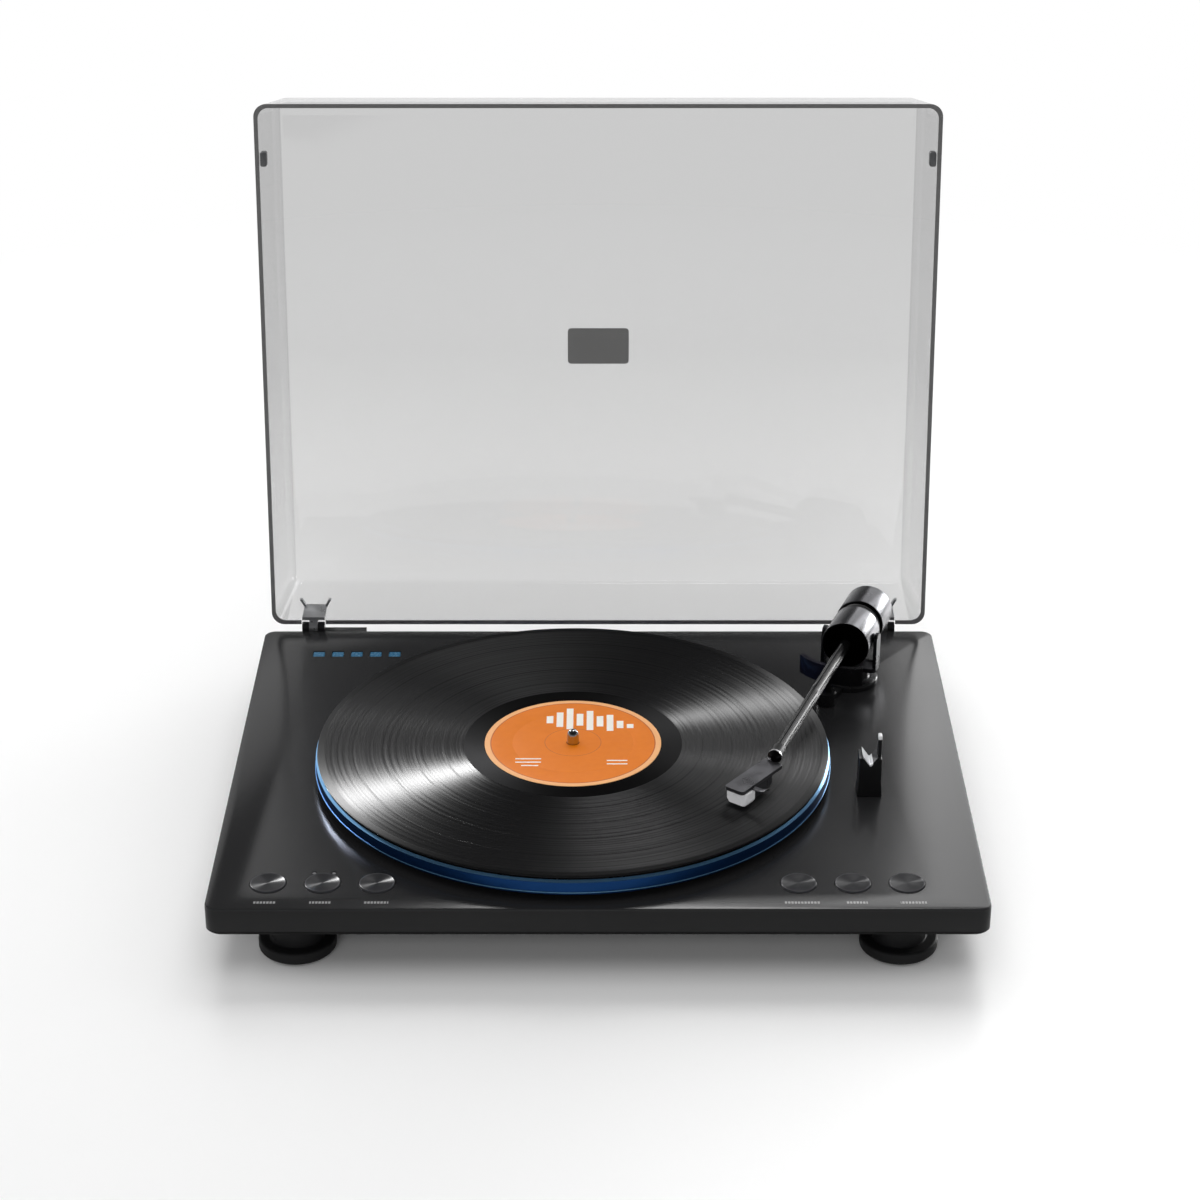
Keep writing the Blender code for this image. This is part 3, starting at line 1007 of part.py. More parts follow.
def build_rest(root, black, silver):
    """Arm rest: a post with a V seat, a bright cradle in the V, and a tall outer prong."""
    half = REST_WIDTH / 2
    seat = half - PRONG_WIDTH
    post = [(half + REST_FLARE, 0), (half, REST_NOTCH / 2), (half, REST_RIGHT_LIP), (seat, REST_RIGHT_LIP),
            (0, REST_NOTCH), (REST_LIP_RUN - half, REST_LEFT_LIP), (-half, REST_LEFT_LIP),
            (-half, REST_NOTCH / 2),
            (-half - REST_FLARE, 0)]
    rest = piece("arm_rest", turn_mesh(prism(post, -REST_DEPTH / 2, REST_DEPTH / 2), 90, "X"), black, root,
                 (REST_X, REST_Y, DECK_Z + RUN_GAP))
    prong = moved(box(PRONG_WIDTH, PRONG_DEPTH), half - PRONG_WIDTH / 2, 0)
    fuse(rest, prism(prong, REST_NOTCH, PRONG_HEIGHT))
    thick = CRADLE_THICKNESS
    left = (REST_LEFT_LIP - REST_NOTCH) / (half - REST_LIP_RUN)
    line = [(REST_LIP_RUN - half, REST_LEFT_LIP), (0, REST_NOTCH),
            (seat - RUN_GAP, REST_RIGHT_LIP - left * RUN_GAP)]
    under = [(x, z + 2 * RUN_GAP) for x, z in line]
    over = [(x, z + 2 * RUN_GAP + thick) for x, z in reversed(line)]
    cradle = turn_mesh(prism(under + over, -REST_DEPTH / 2, REST_DEPTH / 2), 90, "X")
    piece("rest_cradle", cradle, silver, root, (REST_X, REST_Y, DECK_Z + RUN_GAP))


def build_cover(hinge, clear, dark, rubber):
    """Clear dust cover, modelled closed in the frame of its hinge axis, with badge and bumpers."""
    cover = piece("dust_cover", loft(cover_sections(0, 0)), clear, hinge)
    cut(cover, loft(cover_sections(COVER_WALL, OVERRUN)))
    rim = RIM_Z - AXIS_Z
    rear = COVER_REAR_Y - AXIS_Y
    notches = bmesh.new()
    for side in (-1, 1):
        outline = moved(box(HINGE_WIDTH + 2 * NOTCH_MARGIN, 4 * COVER_WALL), side * HINGE_X, rear)
        prism(outline, rim - OVERRUN, rim + NOTCH_RISE, notches)
    cut(cover, notches)
    top = rim + COVER_HEIGHT + RUN_GAP
    badge = moved(rounded(BADGE_WIDTH, BADGE_HEIGHT, BADGE_THICKNESS), 0, -COVER_LENGTH / 2)
    piece("cover_badge", prism(badge, top, top + BADGE_THICKNESS), dark, hinge)
    inner = COVER_WIDTH / 2 - COVER_WALL - RUN_GAP - COVER_TAPER * BUMPER_HEIGHT / COVER_HEIGHT
    place = COVER_FRONT_Y + BUMPER_FROM_FRONT - AXIS_Y
    low = DECK_Z + RUN_GAP - AXIS_Z
    for side, name in ((-1, "left"), (1, "right")):
        block = moved(box(BUMPER_WIDTH, BUMPER_LENGTH), side * (inner - BUMPER_WIDTH / 2), place)
        piece("cover_bumper_" + name, prism(block, low, rim + BUMPER_HEIGHT), rubber, hinge)


def build_hinge(root, hinge, side, name, black, metal, steel):
    """One hinge: a socket block on the rear wall with two lugs, a pin, and the leaf in the cover."""
    centre = side * HINGE_X
    back = REAR_Y + RUN_GAP
    lug = (HINGE_WIDTH - KNUCKLE_LENGTH) / 2 - RUN_GAP
    drop = AXIS_Z - DECK_Z
    inner_run = moved(box(SOCKET_INNER_RUN, SOCKET_DEPTH), -side * (HINGE_WIDTH / 2 + SOCKET_INNER_RUN / 2),
                      back + SOCKET_DEPTH / 2 - AXIS_Y)
    block = piece("hinge_socket_" + name, prism(inner_run, -drop - SOCKET_DROP, -drop - RUN_GAP), black, root,
                  (centre, AXIS_Y, AXIS_Z))
    step = moved(box(HINGE_WIDTH + 2 * RUN_GAP, SOCKET_DEPTH + KNUCKLE_RADIUS), 0,
                 back + (SOCKET_DEPTH + KNUCKLE_RADIUS) / 2 - AXIS_Y)
    fuse(block, prism(step, -drop - SOCKET_DROP, -SOCKET_STEP - KNUCKLE_RADIUS / 4))
    lugs = bmesh.new()
    foot = [(-KNUCKLE_RADIUS, -SOCKET_STEP - KNUCKLE_RADIUS), (KNUCKLE_RADIUS, -SOCKET_STEP - KNUCKLE_RADIUS)]
    outline = arc(0, 0, KNUCKLE_RADIUS, 0, 180, SMALL_SIDES // 2) + foot
    for end in (-1, 1):
        middle = end * (KNUCKLE_LENGTH / 2 + RUN_GAP + lug / 2)
        prism(outline, middle - lug / 2, middle + lug / 2, lugs)
    stand = Matrix(((0, 0, 1), (1, 0, 0), (0, 1, 0))).to_4x4()
    bmesh.ops.transform(lugs, matrix=stand, verts=lugs.verts)
    fuse(block, lugs)
    hole = circle(HINGE_PIN_RADIUS + RUN_GAP, SMALL_SIDES)
    cut(block, turn_mesh(prism(hole, -HINGE_WIDTH, HINGE_WIDTH), 90, "Y"))
    half = HINGE_WIDTH / 2
    pin = turn_mesh(prism(circle(HINGE_PIN_RADIUS, SMALL_SIDES), -half, half), 90, "Y")
    piece("hinge_pin_" + name, pin, steel, root, (centre, AXIS_Y, AXIS_Z))
    knuckle = circle(KNUCKLE_RADIUS, ROUND_SIDES)
    barrel = turn_mesh(prism(knuckle, -KNUCKLE_LENGTH / 2, KNUCKLE_LENGTH / 2), 90, "Y")
    leaf = piece("hinge_leaf_" + name, barrel, metal, hinge, (centre, 0, 0))
    face = COVER_REAR_Y - AXIS_Y - COVER_WALL - RUN_GAP
    low = RIM_Z - AXIS_Z
    web = moved(box(KNUCKLE_LENGTH, -face + LEAF_THICKNESS / 2), 0, (face - LEAF_THICKNESS / 2) / 2)
    fuse(leaf, prism(web, low, low + 2 * LEAF_WEB))
    lean = math.degrees(math.atan(COVER_TAPER / COVER_HEIGHT))
    plate = moved(box(HINGE_WIDTH, LEAF_THICKNESS), 0, -LEAF_THICKNESS / 2)
    fuse(leaf, turn_mesh(prism(plate, 0, LEAF_REACH), lean, "X"), (0, face, low))
    ears = bmesh.new()
    for end in (-1, 1):
        ear = [(end * half, 0), (end * (half - EAR_THICKNESS), 0),
               (end * (half - EAR_THICKNESS + EAR_SPREAD), -EAR_REACH),
               (end * (half + EAR_SPREAD), -EAR_REACH)]
        prism(moved(ear, 0, -LEAF_THICKNESS / 2), LEAF_REACH - 2 * EAR_THICKNESS, LEAF_REACH - RUN_GAP, ears)
    fuse(leaf, turn_mesh(ears, lean, "X"), (0, face, low))
    cut(leaf, turn_mesh(prism(hole, -HINGE_WIDTH, HINGE_WIDTH), 90, "Y"))


def build_player():
    """Lays out the frame, its joint axes and every sub-part."""
    for obj in list(bpy.data.objects):
        bpy.data.objects.remove(obj, do_unlink=True)
    black = paint("black_plastic", (0.025, 0.025, 0.027), 0.45)
    button_metal = paint("spun_metal", (0.32, 0.32, 0.33), 0.35, 0.9)
    alloy = paint("cast_alloy", (0.45, 0.45, 0.46), 0.4, 0.9)
    blue = paint("blue_band", (0.01, 0.12, 0.5), 0.25, 0.8)
    rubber = paint("black_rubber", (0.02, 0.02, 0.02), 0.8)
    vinyl = paint("pressed_vinyl", (0.008, 0.008, 0.009), 0.25)
    paper = paint("label_paper", (0.78, 0.23, 0.045), 0.6)
    steel = paint("bright_steel", (0.6, 0.6, 0.6), 0.25, 1)
    brass = paint("turned_brass", (0.7, 0.5, 0.2), 0.3, 1)
    board = paint("circuit_board", (0.02, 0.14, 0.06), 0.5)
    light = paint("light_guide", (0.25, 0.6, 0.9), 0.3)
    arm_black = paint("arm_black", (0.012, 0.012, 0.013), 0.25)
    silver = paint("silver_plastic", (0.6, 0.6, 0.6), 0.35)
    grey = paint("shell_grey", (0.07, 0.07, 0.07), 0.4)
    dark_chrome = paint("dark_chrome", (0.3, 0.3, 0.31), 0.2, 1)
    gold = paint("gold_plate", (0.8, 0.6, 0.25), 0.25, 1)
    clear = paint("clear_acrylic", (0.75, 0.76, 0.77), 0.05, alpha=0.3)
    badge = paint("badge_plate", (0.08, 0.08, 0.08), 0.5)

    root = pivot("plinth_centre", None, (0, -(FRONT_Y + cover_reach()) / 2, 0))
    build_casing(root, black)
    build_pan(root, black)
    build_feet(root, black, rubber)
    platter_axis = pivot("platter_axis", root, (SPINDLE_X, SPINDLE_Y, DECK_Z))
    build_platter(platter_axis, alloy, blue, rubber, vinyl, paper, steel)
    pulley_axis = pivot("pulley_axis", root, (MOTOR_X, MOTOR_Y, DECK_Z))
    build_drive(root, platter_axis, pulley_axis, steel, brass, rubber)
    build_buttons(root, black, button_metal, board)
    build_lights(root, light)
    build_rear_board(root, black, board, gold, steel)
    lifter_axis = pivot("lifter_axis", root, (PIVOT_X, PIVOT_Y, DECK_Z))
    build_arm_base(root, arm_black, lifter_axis)
    swing = pivot("tonearm_swing_axis", root, (PIVOT_X, PIVOT_Y, DECK_Z + PIVOT_HEIGHT),
                  (0, 0, ARM_ANGLE_DEG))
    build_yoke(swing, dark_chrome)
    lift = pivot("tonearm_lift_axis", swing, (0, 0, 0))
    build_arm(lift, arm_black, grey, silver, rubber)
    slide = pivot("weight_slide", lift, (0, 0, 0))
    spin = pivot("weight_spin", slide, (0, 0, 0))
    build_weight(slide, spin, dark_chrome, rubber)
    build_rest(root, arm_black, silver)
    hinge = pivot("cover_hinge_axis", root, (0, AXIS_Y, AXIS_Z), (-COVER_OPEN_DEG, 0, 0))
    build_cover(hinge, clear, badge, rubber)
    for side, name in ((-1, "left"), (1, "right")):
        build_hinge(root, hinge, side, name, black, dark_chrome, steel)


build_player()
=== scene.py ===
"""Record player with its clear cover open and a record on the platter: the looks, built round the
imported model. Metres, +Z up, front towards -Y, floor at Z = 0."""
import math

import bmesh
import bpy
from mathutils import Euler, Matrix, Vector


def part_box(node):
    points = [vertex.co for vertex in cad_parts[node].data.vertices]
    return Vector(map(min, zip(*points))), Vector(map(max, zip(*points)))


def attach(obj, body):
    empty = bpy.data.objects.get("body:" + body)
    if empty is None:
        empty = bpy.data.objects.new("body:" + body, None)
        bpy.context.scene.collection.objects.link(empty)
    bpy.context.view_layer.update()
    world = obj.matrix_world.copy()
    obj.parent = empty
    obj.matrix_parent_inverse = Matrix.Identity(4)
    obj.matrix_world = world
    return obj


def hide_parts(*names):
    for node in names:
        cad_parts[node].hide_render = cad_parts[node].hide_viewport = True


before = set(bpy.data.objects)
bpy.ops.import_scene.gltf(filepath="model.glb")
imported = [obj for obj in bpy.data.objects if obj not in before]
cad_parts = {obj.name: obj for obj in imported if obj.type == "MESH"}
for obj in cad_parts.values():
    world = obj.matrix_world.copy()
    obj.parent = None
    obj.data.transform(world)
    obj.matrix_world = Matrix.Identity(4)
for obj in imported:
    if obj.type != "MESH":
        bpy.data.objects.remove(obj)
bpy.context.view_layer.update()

# Studio: a pale glossy table that runs out to a white background. Five wide lamps light the player from
# behind, above, the sides and the front. Five more are only mirrored, and draw its streaks of light.
scene = bpy.context.scene
scene.view_settings.view_transform = "Standard"

LOOK_DOWN = 26.15
camera = bpy.data.objects.new("camera", bpy.data.cameras.new("camera"))
camera.data.lens = 88.35
camera.data.sensor_width = 36
camera.data.clip_end = 20
camera.location = (0.0011, -1.5925, 0.9012)
camera.rotation_euler = (math.radians(90 - LOOK_DOWN), 0, 0)
scene.collection.objects.link(camera)
scene.camera = camera


def srgb(red, green, blue):
    """A colour given as display levels from 0 to 255, turned into light."""
    levels = [value / 255 for value in (red, green, blue)]
    return tuple(v / 12.92 if v <= 0.04045 else ((v + 0.055) / 1.055) ** 2.4 for v in levels) + (1,)


def grey(level, cool=1):
    """A grey whose blue is a little stronger."""
    return srgb(level, level, level + cool)


def sums(operation):
    """A method that adds the Math node of an operation."""
    return lambda self, *others: self.finish.node(
        "Math", {"operation": operation}, dict(enumerate((self, *others))))


class Wire:
    """A socket of a finish. A sum written on it adds the Math nodes that work it out."""
    __add__ = __radd__ = sums("ADD")
    __mul__ = __rmul__ = sums("MULTIPLY")
    __sub__, __truediv__ = sums("SUBTRACT"), sums("DIVIDE")
    __gt__, __lt__ = sums("GREATER_THAN"), sums("LESS_THAN")
    root, sine, size, fraction, most = map(sums, ("SQRT", "SINE", "ABSOLUTE", "FRACT", "MAXIMUM"))

    def __init__(self, finish, socket):
        self.finish = finish
        self.socket = socket

    def __rsub__(self, other):
        return self.finish.node("Math", {"operation": "SUBTRACT"}, {0: other, 1: self})

    def wave(self, pitch):
        return (self * (math.tau / pitch)).sine()


class Nodes:
    """A node tree and the ways to add to it."""

    def __init__(self, tree):
        self.tree = tree

    def node(self, kind, settings=None, inputs=None, output=0):
        made = self.tree.nodes.new("ShaderNode" + kind)
        for key, value in (settings or {}).items():
            setattr(made, key, value)
        for key, value in (inputs or {}).items():
            self.join(made.inputs[key], value)
        return Wire(self, made.outputs[output])

    def join(self, socket, value):
        if isinstance(value, Wire):
            self.tree.links.new(value.socket, socket)
        else:
            socket.default_value = value

    def place(self):
        return self.node("TexCoord", output="Object")

    def parts(self, vector):
        split = self.node("SeparateXYZ", inputs={0: vector}).socket.node
        return [Wire(self, split.outputs[i]) for i in range(3)]

    def xyz(self):
        return self.parts(self.place())

    def noise(self, scale, detail=2, stretch=(1, 1, 1), vector=None):
        spread = self.node("VectorMath", {"operation": "MULTIPLY"}, {0: vector or self.place(), 1: stretch})
        return self.node("TexNoise", None, {"Vector": spread, "Scale": scale, "Detail": detail})

    def blend(self, factor, one, two):
        return self.node("Mix", {"data_type": "RGBA"}, {0: factor, 6: one, 7: two}, 2)

    def ramp(self, factor, low, high, start=0, end=1):
        return self.node("MapRange", None, {0: factor, 1: low, 2: high, 3: start, 4: end})


class Finish(Nodes):
    """One material: its Principled shader with fixed values, and the nodes that vary it."""

    def __init__(self, name, colour, roughness, specular=0.5, **fixed):
        self.material = bpy.data.materials.new(name)
        self.material.use_nodes = True
        super().__init__(self.material.node_tree)
        self.shader = self.tree.nodes["Principled BSDF"]
        self.vary("Base Color", colour).vary("Roughness", roughness).vary("Specular IOR Level", specular)
        for socket, value in fixed.items():
            self.vary(socket.replace("_", " "), value)

    def vary(self, socket, value):
        self.join(self.shader.inputs[socket], value)
        return self

    def paint(self, mask, one, two):
        """Base colour: one where the mask is 0, two where it is 1."""
        return self.vary("Base Color", self.blend(mask, one, two))

    def tint(self, one, two, scale, detail=3):
        """Base colour that drifts between two colours over a noise."""
        return self.paint(self.noise(scale, detail), one, two)

    def drift(self, low, high, scale, detail=3, stretch=(1, 1, 1)):
        """Roughness that drifts between two values over a noise."""
        return self.vary("Roughness", self.ramp(self.noise(scale, detail, stretch), 0.3, 0.7, low, high))

    def bump(self, height, distance, strength):
        sizes = {"Height": height, "Distance": distance, "Strength": strength}
        return self.vary("Normal", self.node("Bump", None, sizes))

    def relief(self, distance, strength, scale, detail=2, stretch=(1, 1, 1)):
        """The fine grain or brushing of a surface, a bump from a noise."""
        return self.bump(self.noise(scale, detail, stretch), distance, strength)


def total(masks):
    """The sum of several masks."""
    return sum(masks[1:], masks[0])


world = bpy.data.worlds.new("studio_world")
world.use_nodes = True
scene.world = world
air = Nodes(world.node_tree)


def ray(kind):
    """Whether a ray is of this kind, as a mask of the world."""
    return air.node("LightPath", output=kind)


back, up = air.parts(air.node("TexCoord", output="Generated"))[1:]
mirrored = ray("Is Glossy Ray") * air.ramp(up, 0.1, 0.4, 0.5, 0.05) * air.ramp(back, -0.6, 0.2, 0.3, 1)
seen = ray("Is Camera Ray").most(ray("Is Transmission Ray"))
diffuse = ray("Is Diffuse Ray") * 0.22
background = air.tree.nodes["Background"].inputs
air.join(background["Strength"], seen.most(mirrored).most(diffuse))
air.join(background["Color"], (1, 1, 1, 1))


def lamp(name, place, size, watts, mirrored, target=(0, 0, 0.05)):
    """A square soft lamp aimed at a point: either one that glossy faces mirror, or one that lights."""
    light = bpy.data.objects.new(name, bpy.data.lights.new(name, "AREA"))
    light.data.shape = "SQUARE"
    light.data.size = size
    light.data.energy = watts
    light.location = place
    aim = Vector(target) - Vector(place)
    light.rotation_euler = aim.to_track_quat("-Z", "Y").to_euler()
    light.visible_glossy = mirrored
    light.visible_diffuse = not mirrored
    scene.collection.objects.link(light)
    return light


streak = lamp("lamp_streak_left", (-2.23, 2.74, 2.6), 0.6, 540, True)
lamp("lamp_streak_high", (0.27, 1.7, 2.4), 0.6, 13, True)
lamp("lamp_panel_right", (1.15, 1.94, 1.42), 1.5, 23, True, (0.15, -0.1, 0.05))
lamp("lamp_soft_left", (-0.9, 2.1, 1.3), 1.0, 3, True, (-0.1, 0, 0.05))
lamp("lamp_low_right", (2.0, 2.0, 0.42), 0.7, 34, True, (0.1, 0, 0.05))
lamp("lamp_back", (0.2, 2.2, 1.7), 2.6, 72, False)
lamp("lamp_top", (0, -0.5, 2.8), 2.6, 24, False)
lamp("lamp_left", (-2.4, 0.6, 1.3), 1.6, 19, False)
lamp("lamp_right", (2.4, 0.6, 1.3), 1.6, 11, False)
lamp("lamp_front", (-0.5, -2.6, 1.1), 1.6, 19, False)

table = bpy.data.objects.new("table", bpy.data.meshes.new("table"))
CORNERS = ((-9, -9, 0), (9, -9, 0), (9, 9, 0), (-9, 9, 0))
table.data.from_pydata(CORNERS, [], [(0, 1, 2, 3)])
scene.collection.objects.link(table)
white = Finish("table_white", (0.92, 0.92, 0.92, 1), 0.3)
FADE_START, FADE_END = 0.5, 1.1
x, y, z = white.xyz()
far = white.ramp((x * x + y * y).root(), FADE_START, FADE_END)
glow = white.node("Emission")
swept = white.node("MixShader", None, {0: far, 2: glow})
white.tree.links.new(white.shader.outputs[0], swept.socket.node.inputs[1])
white.tree.links.new(swept.socket, white.tree.nodes["Material Output"].inputs[0])
table.data.materials.append(white.material)
spared = bpy.data.collections.new("spared_by_the_streak")
streak.light_linking.receiver_collection = spared


def spare(made):
    """Keeps the narrow streak lamp, which draws the fans on the record, off a wide glossy face."""
    spared.objects.link(made)
    spared.collection_objects[-1].light_linking.link_state = "EXCLUDE"


spare(table)

# Top casing: one thin moulding in satin black plastic with a very fine grain, its walls drawn in at the
# foot. Holes pass the buttons, lamps, spindle, motor, tonearm pivot, lifter and the rear sockets. The walls
# are painted darker than the deck, painted shade, and their drawn-in foot near-black, painted shadow from
# under the player.
casing_low, casing_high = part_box("top_casing")
MIDDLE = (casing_low + casing_high) / 2
LEFT, RIGHT = casing_low.x, casing_high.x
FRONT, REAR = casing_low.y, casing_high.y
DECK = casing_high.z
WALL = 0.0025
DECK_THICKNESS = 0.003
CASING_CORNER = 0.007
GAP = 0.0003
PAST = 0.002


def arc(x, y, radius, start, end, steps):
    """Points along an arc, in degrees, both ends included."""
    turns = [math.radians(start + (end - start) * i / steps) for i in range(steps + 1)]
    return [(x + radius * math.cos(t), y + radius * math.sin(t)) for t in turns]


def rounded(width, depth, corner, x=0, y=0, steps=12, inset=0):
    """Outline of a rectangle with round corners, drawn in by an inset on all sides."""
    a, b = width / 2 - inset - corner, depth / 2 - inset - corner
    places = ((a, b, 0), (-a, b, 90), (-a, -b, 180), (a, -b, 270))
    return [point for cx, cy, turn in places for point in arc(x + cx, y + cy, corner, turn, turn + 90, steps)]


def circle(radius, x=0, y=0, sides=96):
    """Outline of a round."""
    return arc(x, y, radius, 0, 360, sides)[:-1]


def box(width, depth, x=0, y=0):
    """Outline of a plain rectangle."""
    return [(x + sx * width / 2, y + sy * depth / 2) for sx, sy in ((1, 1), (-1, 1), (-1, -1), (1, -1))]


def centre(low, high):
    """The middle of a box, seen from above."""
    return (low.x + high.x) / 2, (low.y + high.y) / 2


def loft(sections, form=None):
    """A closed form through outlines of equal count, each (outline, height)."""
    form = form or bmesh.new()
    rings = [[form.verts.new((x, y, z)) for x, y in outline] for outline, z in sections]
    for one, two in zip(rings, rings[1:]):
        for i in range(len(one)):
            j = (i + 1) % len(one)
            form.faces.new((one[i], one[j], two[j], two[i]))
    form.faces.new(rings[0][::-1])
    form.faces.new(rings[-1])
    return form


def prism(outline, low, high, form=None):
    """A closed straight form between two heights."""
    return loft(((outline, low), (outline, high)), form)


def lower_round(radius, height, by, steps):
    """The rounded lower edge of a turned profile, from its underside out."""
    return arc(radius - by, height + by, by, -90, 0, steps)


def upper_round(radius, height, by, steps):
    """The rounded upper edge of a turned profile, from its side in."""
    return arc(radius - by, height - by, by, 0, 90, steps)


def lathe(profile, sides):
    """A closed form turned round Z from (radius, height) points; points on the axis close it."""
    form = bmesh.new()
    rings = []
    for radius, height in profile:
        outline = circle(radius, sides=sides) if radius else [(0, 0)]
        rings.append([form.verts.new((x, y, height)) for x, y in outline])
    for one, two in zip(rings, rings[1:] + rings[:1]):
        for i in range(sides):
            j = (i + 1) % sides
            corners = [one[i % len(one)], one[j % len(one)], two[j % len(two)], two[i % len(two)]]
            corners = [v for k, v in enumerate(corners) if v not in corners[:k]]
            if len(corners) > 2:
                form.faces.new(corners)
    return form


def put(form, matrix):
    """The form, moved by a matrix."""
    bmesh.ops.transform(form, matrix=matrix, verts=form.verts)
    return form


def piece(name, form, at=(0, 0, 0), turn=(0, 0, 0)):
    """A mesh object whose form is turned by degrees round X, then Y, then Z, and moved into place."""
    turned = Euler([math.radians(degrees) for degrees in turn]).to_matrix().to_4x4()
    put(form, Matrix.Translation(at) @ turned)
    bmesh.ops.recalc_face_normals(form, faces=form.faces)
    made = bpy.data.objects.new(name, bpy.data.meshes.new(name))
    form.to_mesh(made.data)
    form.free()
    scene.collection.objects.link(made)
    return made


def carve(target, form, at=(0, 0, 0), turn=(0, 0, 0), operation="DIFFERENCE"):
    """Cuts a form out of the object for good."""
    tool = piece("tool", form, at, turn)
    change = target.modifiers.new("carve", "BOOLEAN")
    change.operation = operation
    change.solver = "EXACT"
    change.object = tool
    graph = bpy.context.evaluated_depsgraph_get()
    result = bpy.data.meshes.new_from_object(target.evaluated_get(graph))
    target.modifiers.clear()
    old = target.data
    target.data = result
    bpy.data.meshes.remove(old)
    bpy.data.objects.remove(tool)


def weld(target, form, at=(0, 0, 0), turn=(0, 0, 0)):
    """Joins a form on to the object for good."""
    carve(target, form, at, turn, "UNION")


def coat(made, finish, edge, segments, sharp):
    """Gives a piece its finish, and rounds its edges that are sharper than an angle in degrees."""
    made.data.materials.clear()
    made.data.materials.append(finish.material)
    if edge:
        rounding = made.modifiers.new("edge", "BEVEL")
        rounding.width = edge
        rounding.segments = segments
        rounding.angle_limit = math.radians(sharp)


def fit(made, body, finish, node, edge=0.0, sharp=32):
    """Coats a piece, shades it smooth, sets it on a moving body and lets it stand for a CAD node."""
    coat(made, finish, edge, 3, sharp)
    made.data.shade_smooth()
    made.data.set_sharp_from_angle(angle=math.radians(sharp))
    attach(made, body)
    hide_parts(node)


plinth_black = Finish("plinth_satin_black", grey(34), 0.2, specular=0.32)
grain = plinth_black.noise(2600, 2)
drift = plinth_black.noise(9, 3)
paint = plinth_black.blend(drift, grey(33), grey(38))
x, y, z = plinth_black.xyz()
DECK_EDGE, DRAWN_IN = 0.0009, 0.0034
# Painted shade: the walls below the deck edge are darker than the deck. Painted shadow: the drawn-in foot of
# the walls is near-black.
wall_painted_shade = z < DECK - DECK_EDGE
foot_painted_shadow = z < casing_low.z + DRAWN_IN
paint = plinth_black.blend(wall_painted_shade, paint, grey(13))
paint = plinth_black.blend(foot_painted_shadow, paint, grey(4, 0))
plinth_black.vary("Roughness", plinth_black.ramp(drift * 0.7 + grain * 0.3, 0.3, 0.7, 0.17, 0.23)
                  + wall_painted_shade * 0.2 + foot_painted_shadow * 0.5)
MARKS = ((-0.1887, -0.1767), (-0.1581, -0.1465), (-0.1285, -0.1148), (0.1023, 0.1215), (0.1362, 0.1477),
         (0.1658, 0.1800))
MARK_Y, MARK_HALF = MIDDLE.y - 0.1617, 0.0011
MARK_PIECES = 560
marks = total([(x > start) * (x < end) for start, end in MARKS])
pieces = (x * MARK_PIECES).fraction() > 0.3
marks = marks * pieces * ((y - MARK_Y).size() < MARK_HALF) * (z > DECK - 0.0002)
plinth_black.paint(marks * 0.55, paint, grey(190, 0))
plinth_black.bump(grain, 0.00002, 0.5)

SPINDLE = centre(*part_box("spindle"))
BUTTON_RADIUS = 0.0099
button_places = {name: centre(*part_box("button_" + name))
                 for name in ("power", "speed", "source", "start", "lift", "stop")}
PIVOT = (0.1574, 0.1002 + MIDDLE.y)
LIFTER_BEARING, LIFTER_REACH = 242, 0.0355
LIFTER = arc(*PIVOT, LIFTER_REACH, LIFTER_BEARING, LIFTER_BEARING, 1)[0]
MOTOR = centre(*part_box("motor"))
speed_x, speed_y = button_places["speed"]
SPEED_LIGHTS = [(speed_x + side * 0.0055, speed_y + 0.0113) for side in (-1, 1)]
GLOW_WIDTH, GLOW_DEPTH = 0.0072, 0.0068
GLOW_ROW = 0.0555
GLOW_Y = MIDDLE.y + 0.136
GLOW_X = [LEFT + 0.0614 + (GLOW_ROW - GLOW_WIDTH) * share for share in (-0.5, -0.25, 0, 0.25, 0.5)]


def casing_outline(inset, corner):
    """The casing's outline, drawn in by an inset."""
    return rounded(RIGHT - LEFT, REAR - FRONT, corner, 0, MIDDLE.y, inset=inset)


LOW, DRAFT = casing_low.z, 0.003
outer = [(casing_outline(inset, CASING_CORNER - inset / 2), z) for inset, z in (
    (DRAFT, LOW), (0.0019, LOW + 0.0008), (0.0008, LOW + 0.0019), (0, LOW + DRAFT), (0, DECK - 0.0008),
    (0.00023, DECK - 0.00023), (0.0008, DECK))]
casing = piece("plinth_casing", loft(outer))
narrow = casing_outline(WALL + DRAFT, CASING_CORNER - WALL)
wide = casing_outline(WALL, CASING_CORNER - WALL)
carve(casing, loft(((narrow, LOW - PAST), (narrow, LOW), (wide, LOW + DRAFT), (wide, DECK - DECK_THICKNESS))))
outlines = [circle(BUTTON_RADIUS + 0.0004, x, y) for x, y in button_places.values()]
for place, radius in ((SPINDLE, 0.0078), (MOTOR, 0.0085), (PIVOT, 0.0078), (LIFTER, 0.0058)):
    outlines.append(circle(radius, *place, 64))
outlines += [circle(0.0015, x, y, 32) for x, y in SPEED_LIGHTS]
outlines += [rounded(GLOW_WIDTH, GLOW_DEPTH, 0.0005, x, GLOW_Y, 4, -GAP) for x in GLOW_X]
holes = bmesh.new()
for outline in outlines:
    prism(outline, DECK - 0.0045, DECK + PAST, holes)
carve(casing, holes)
SOCKET_Z = 0.0328
outlines = [circle(radius, x, SOCKET_Z, 48)
            for x, radius in ((-0.067, 0.0055), (-0.053, 0.0055), (-0.036, 0.0019), (-0.135, 0.0051))]
outlines.append(box(0.009, 0.0036, -0.09, SOCKET_Z))
rear_holes = bmesh.new()
for outline in outlines:
    prism(outline, -REAR - PAST, PAST - REAR + WALL, rear_holes)
carve(casing, rear_holes, turn=(90, 0, 0))
fit(casing, "plinth", plinth_black, "top_casing", edge=0.0002)
spare(casing)

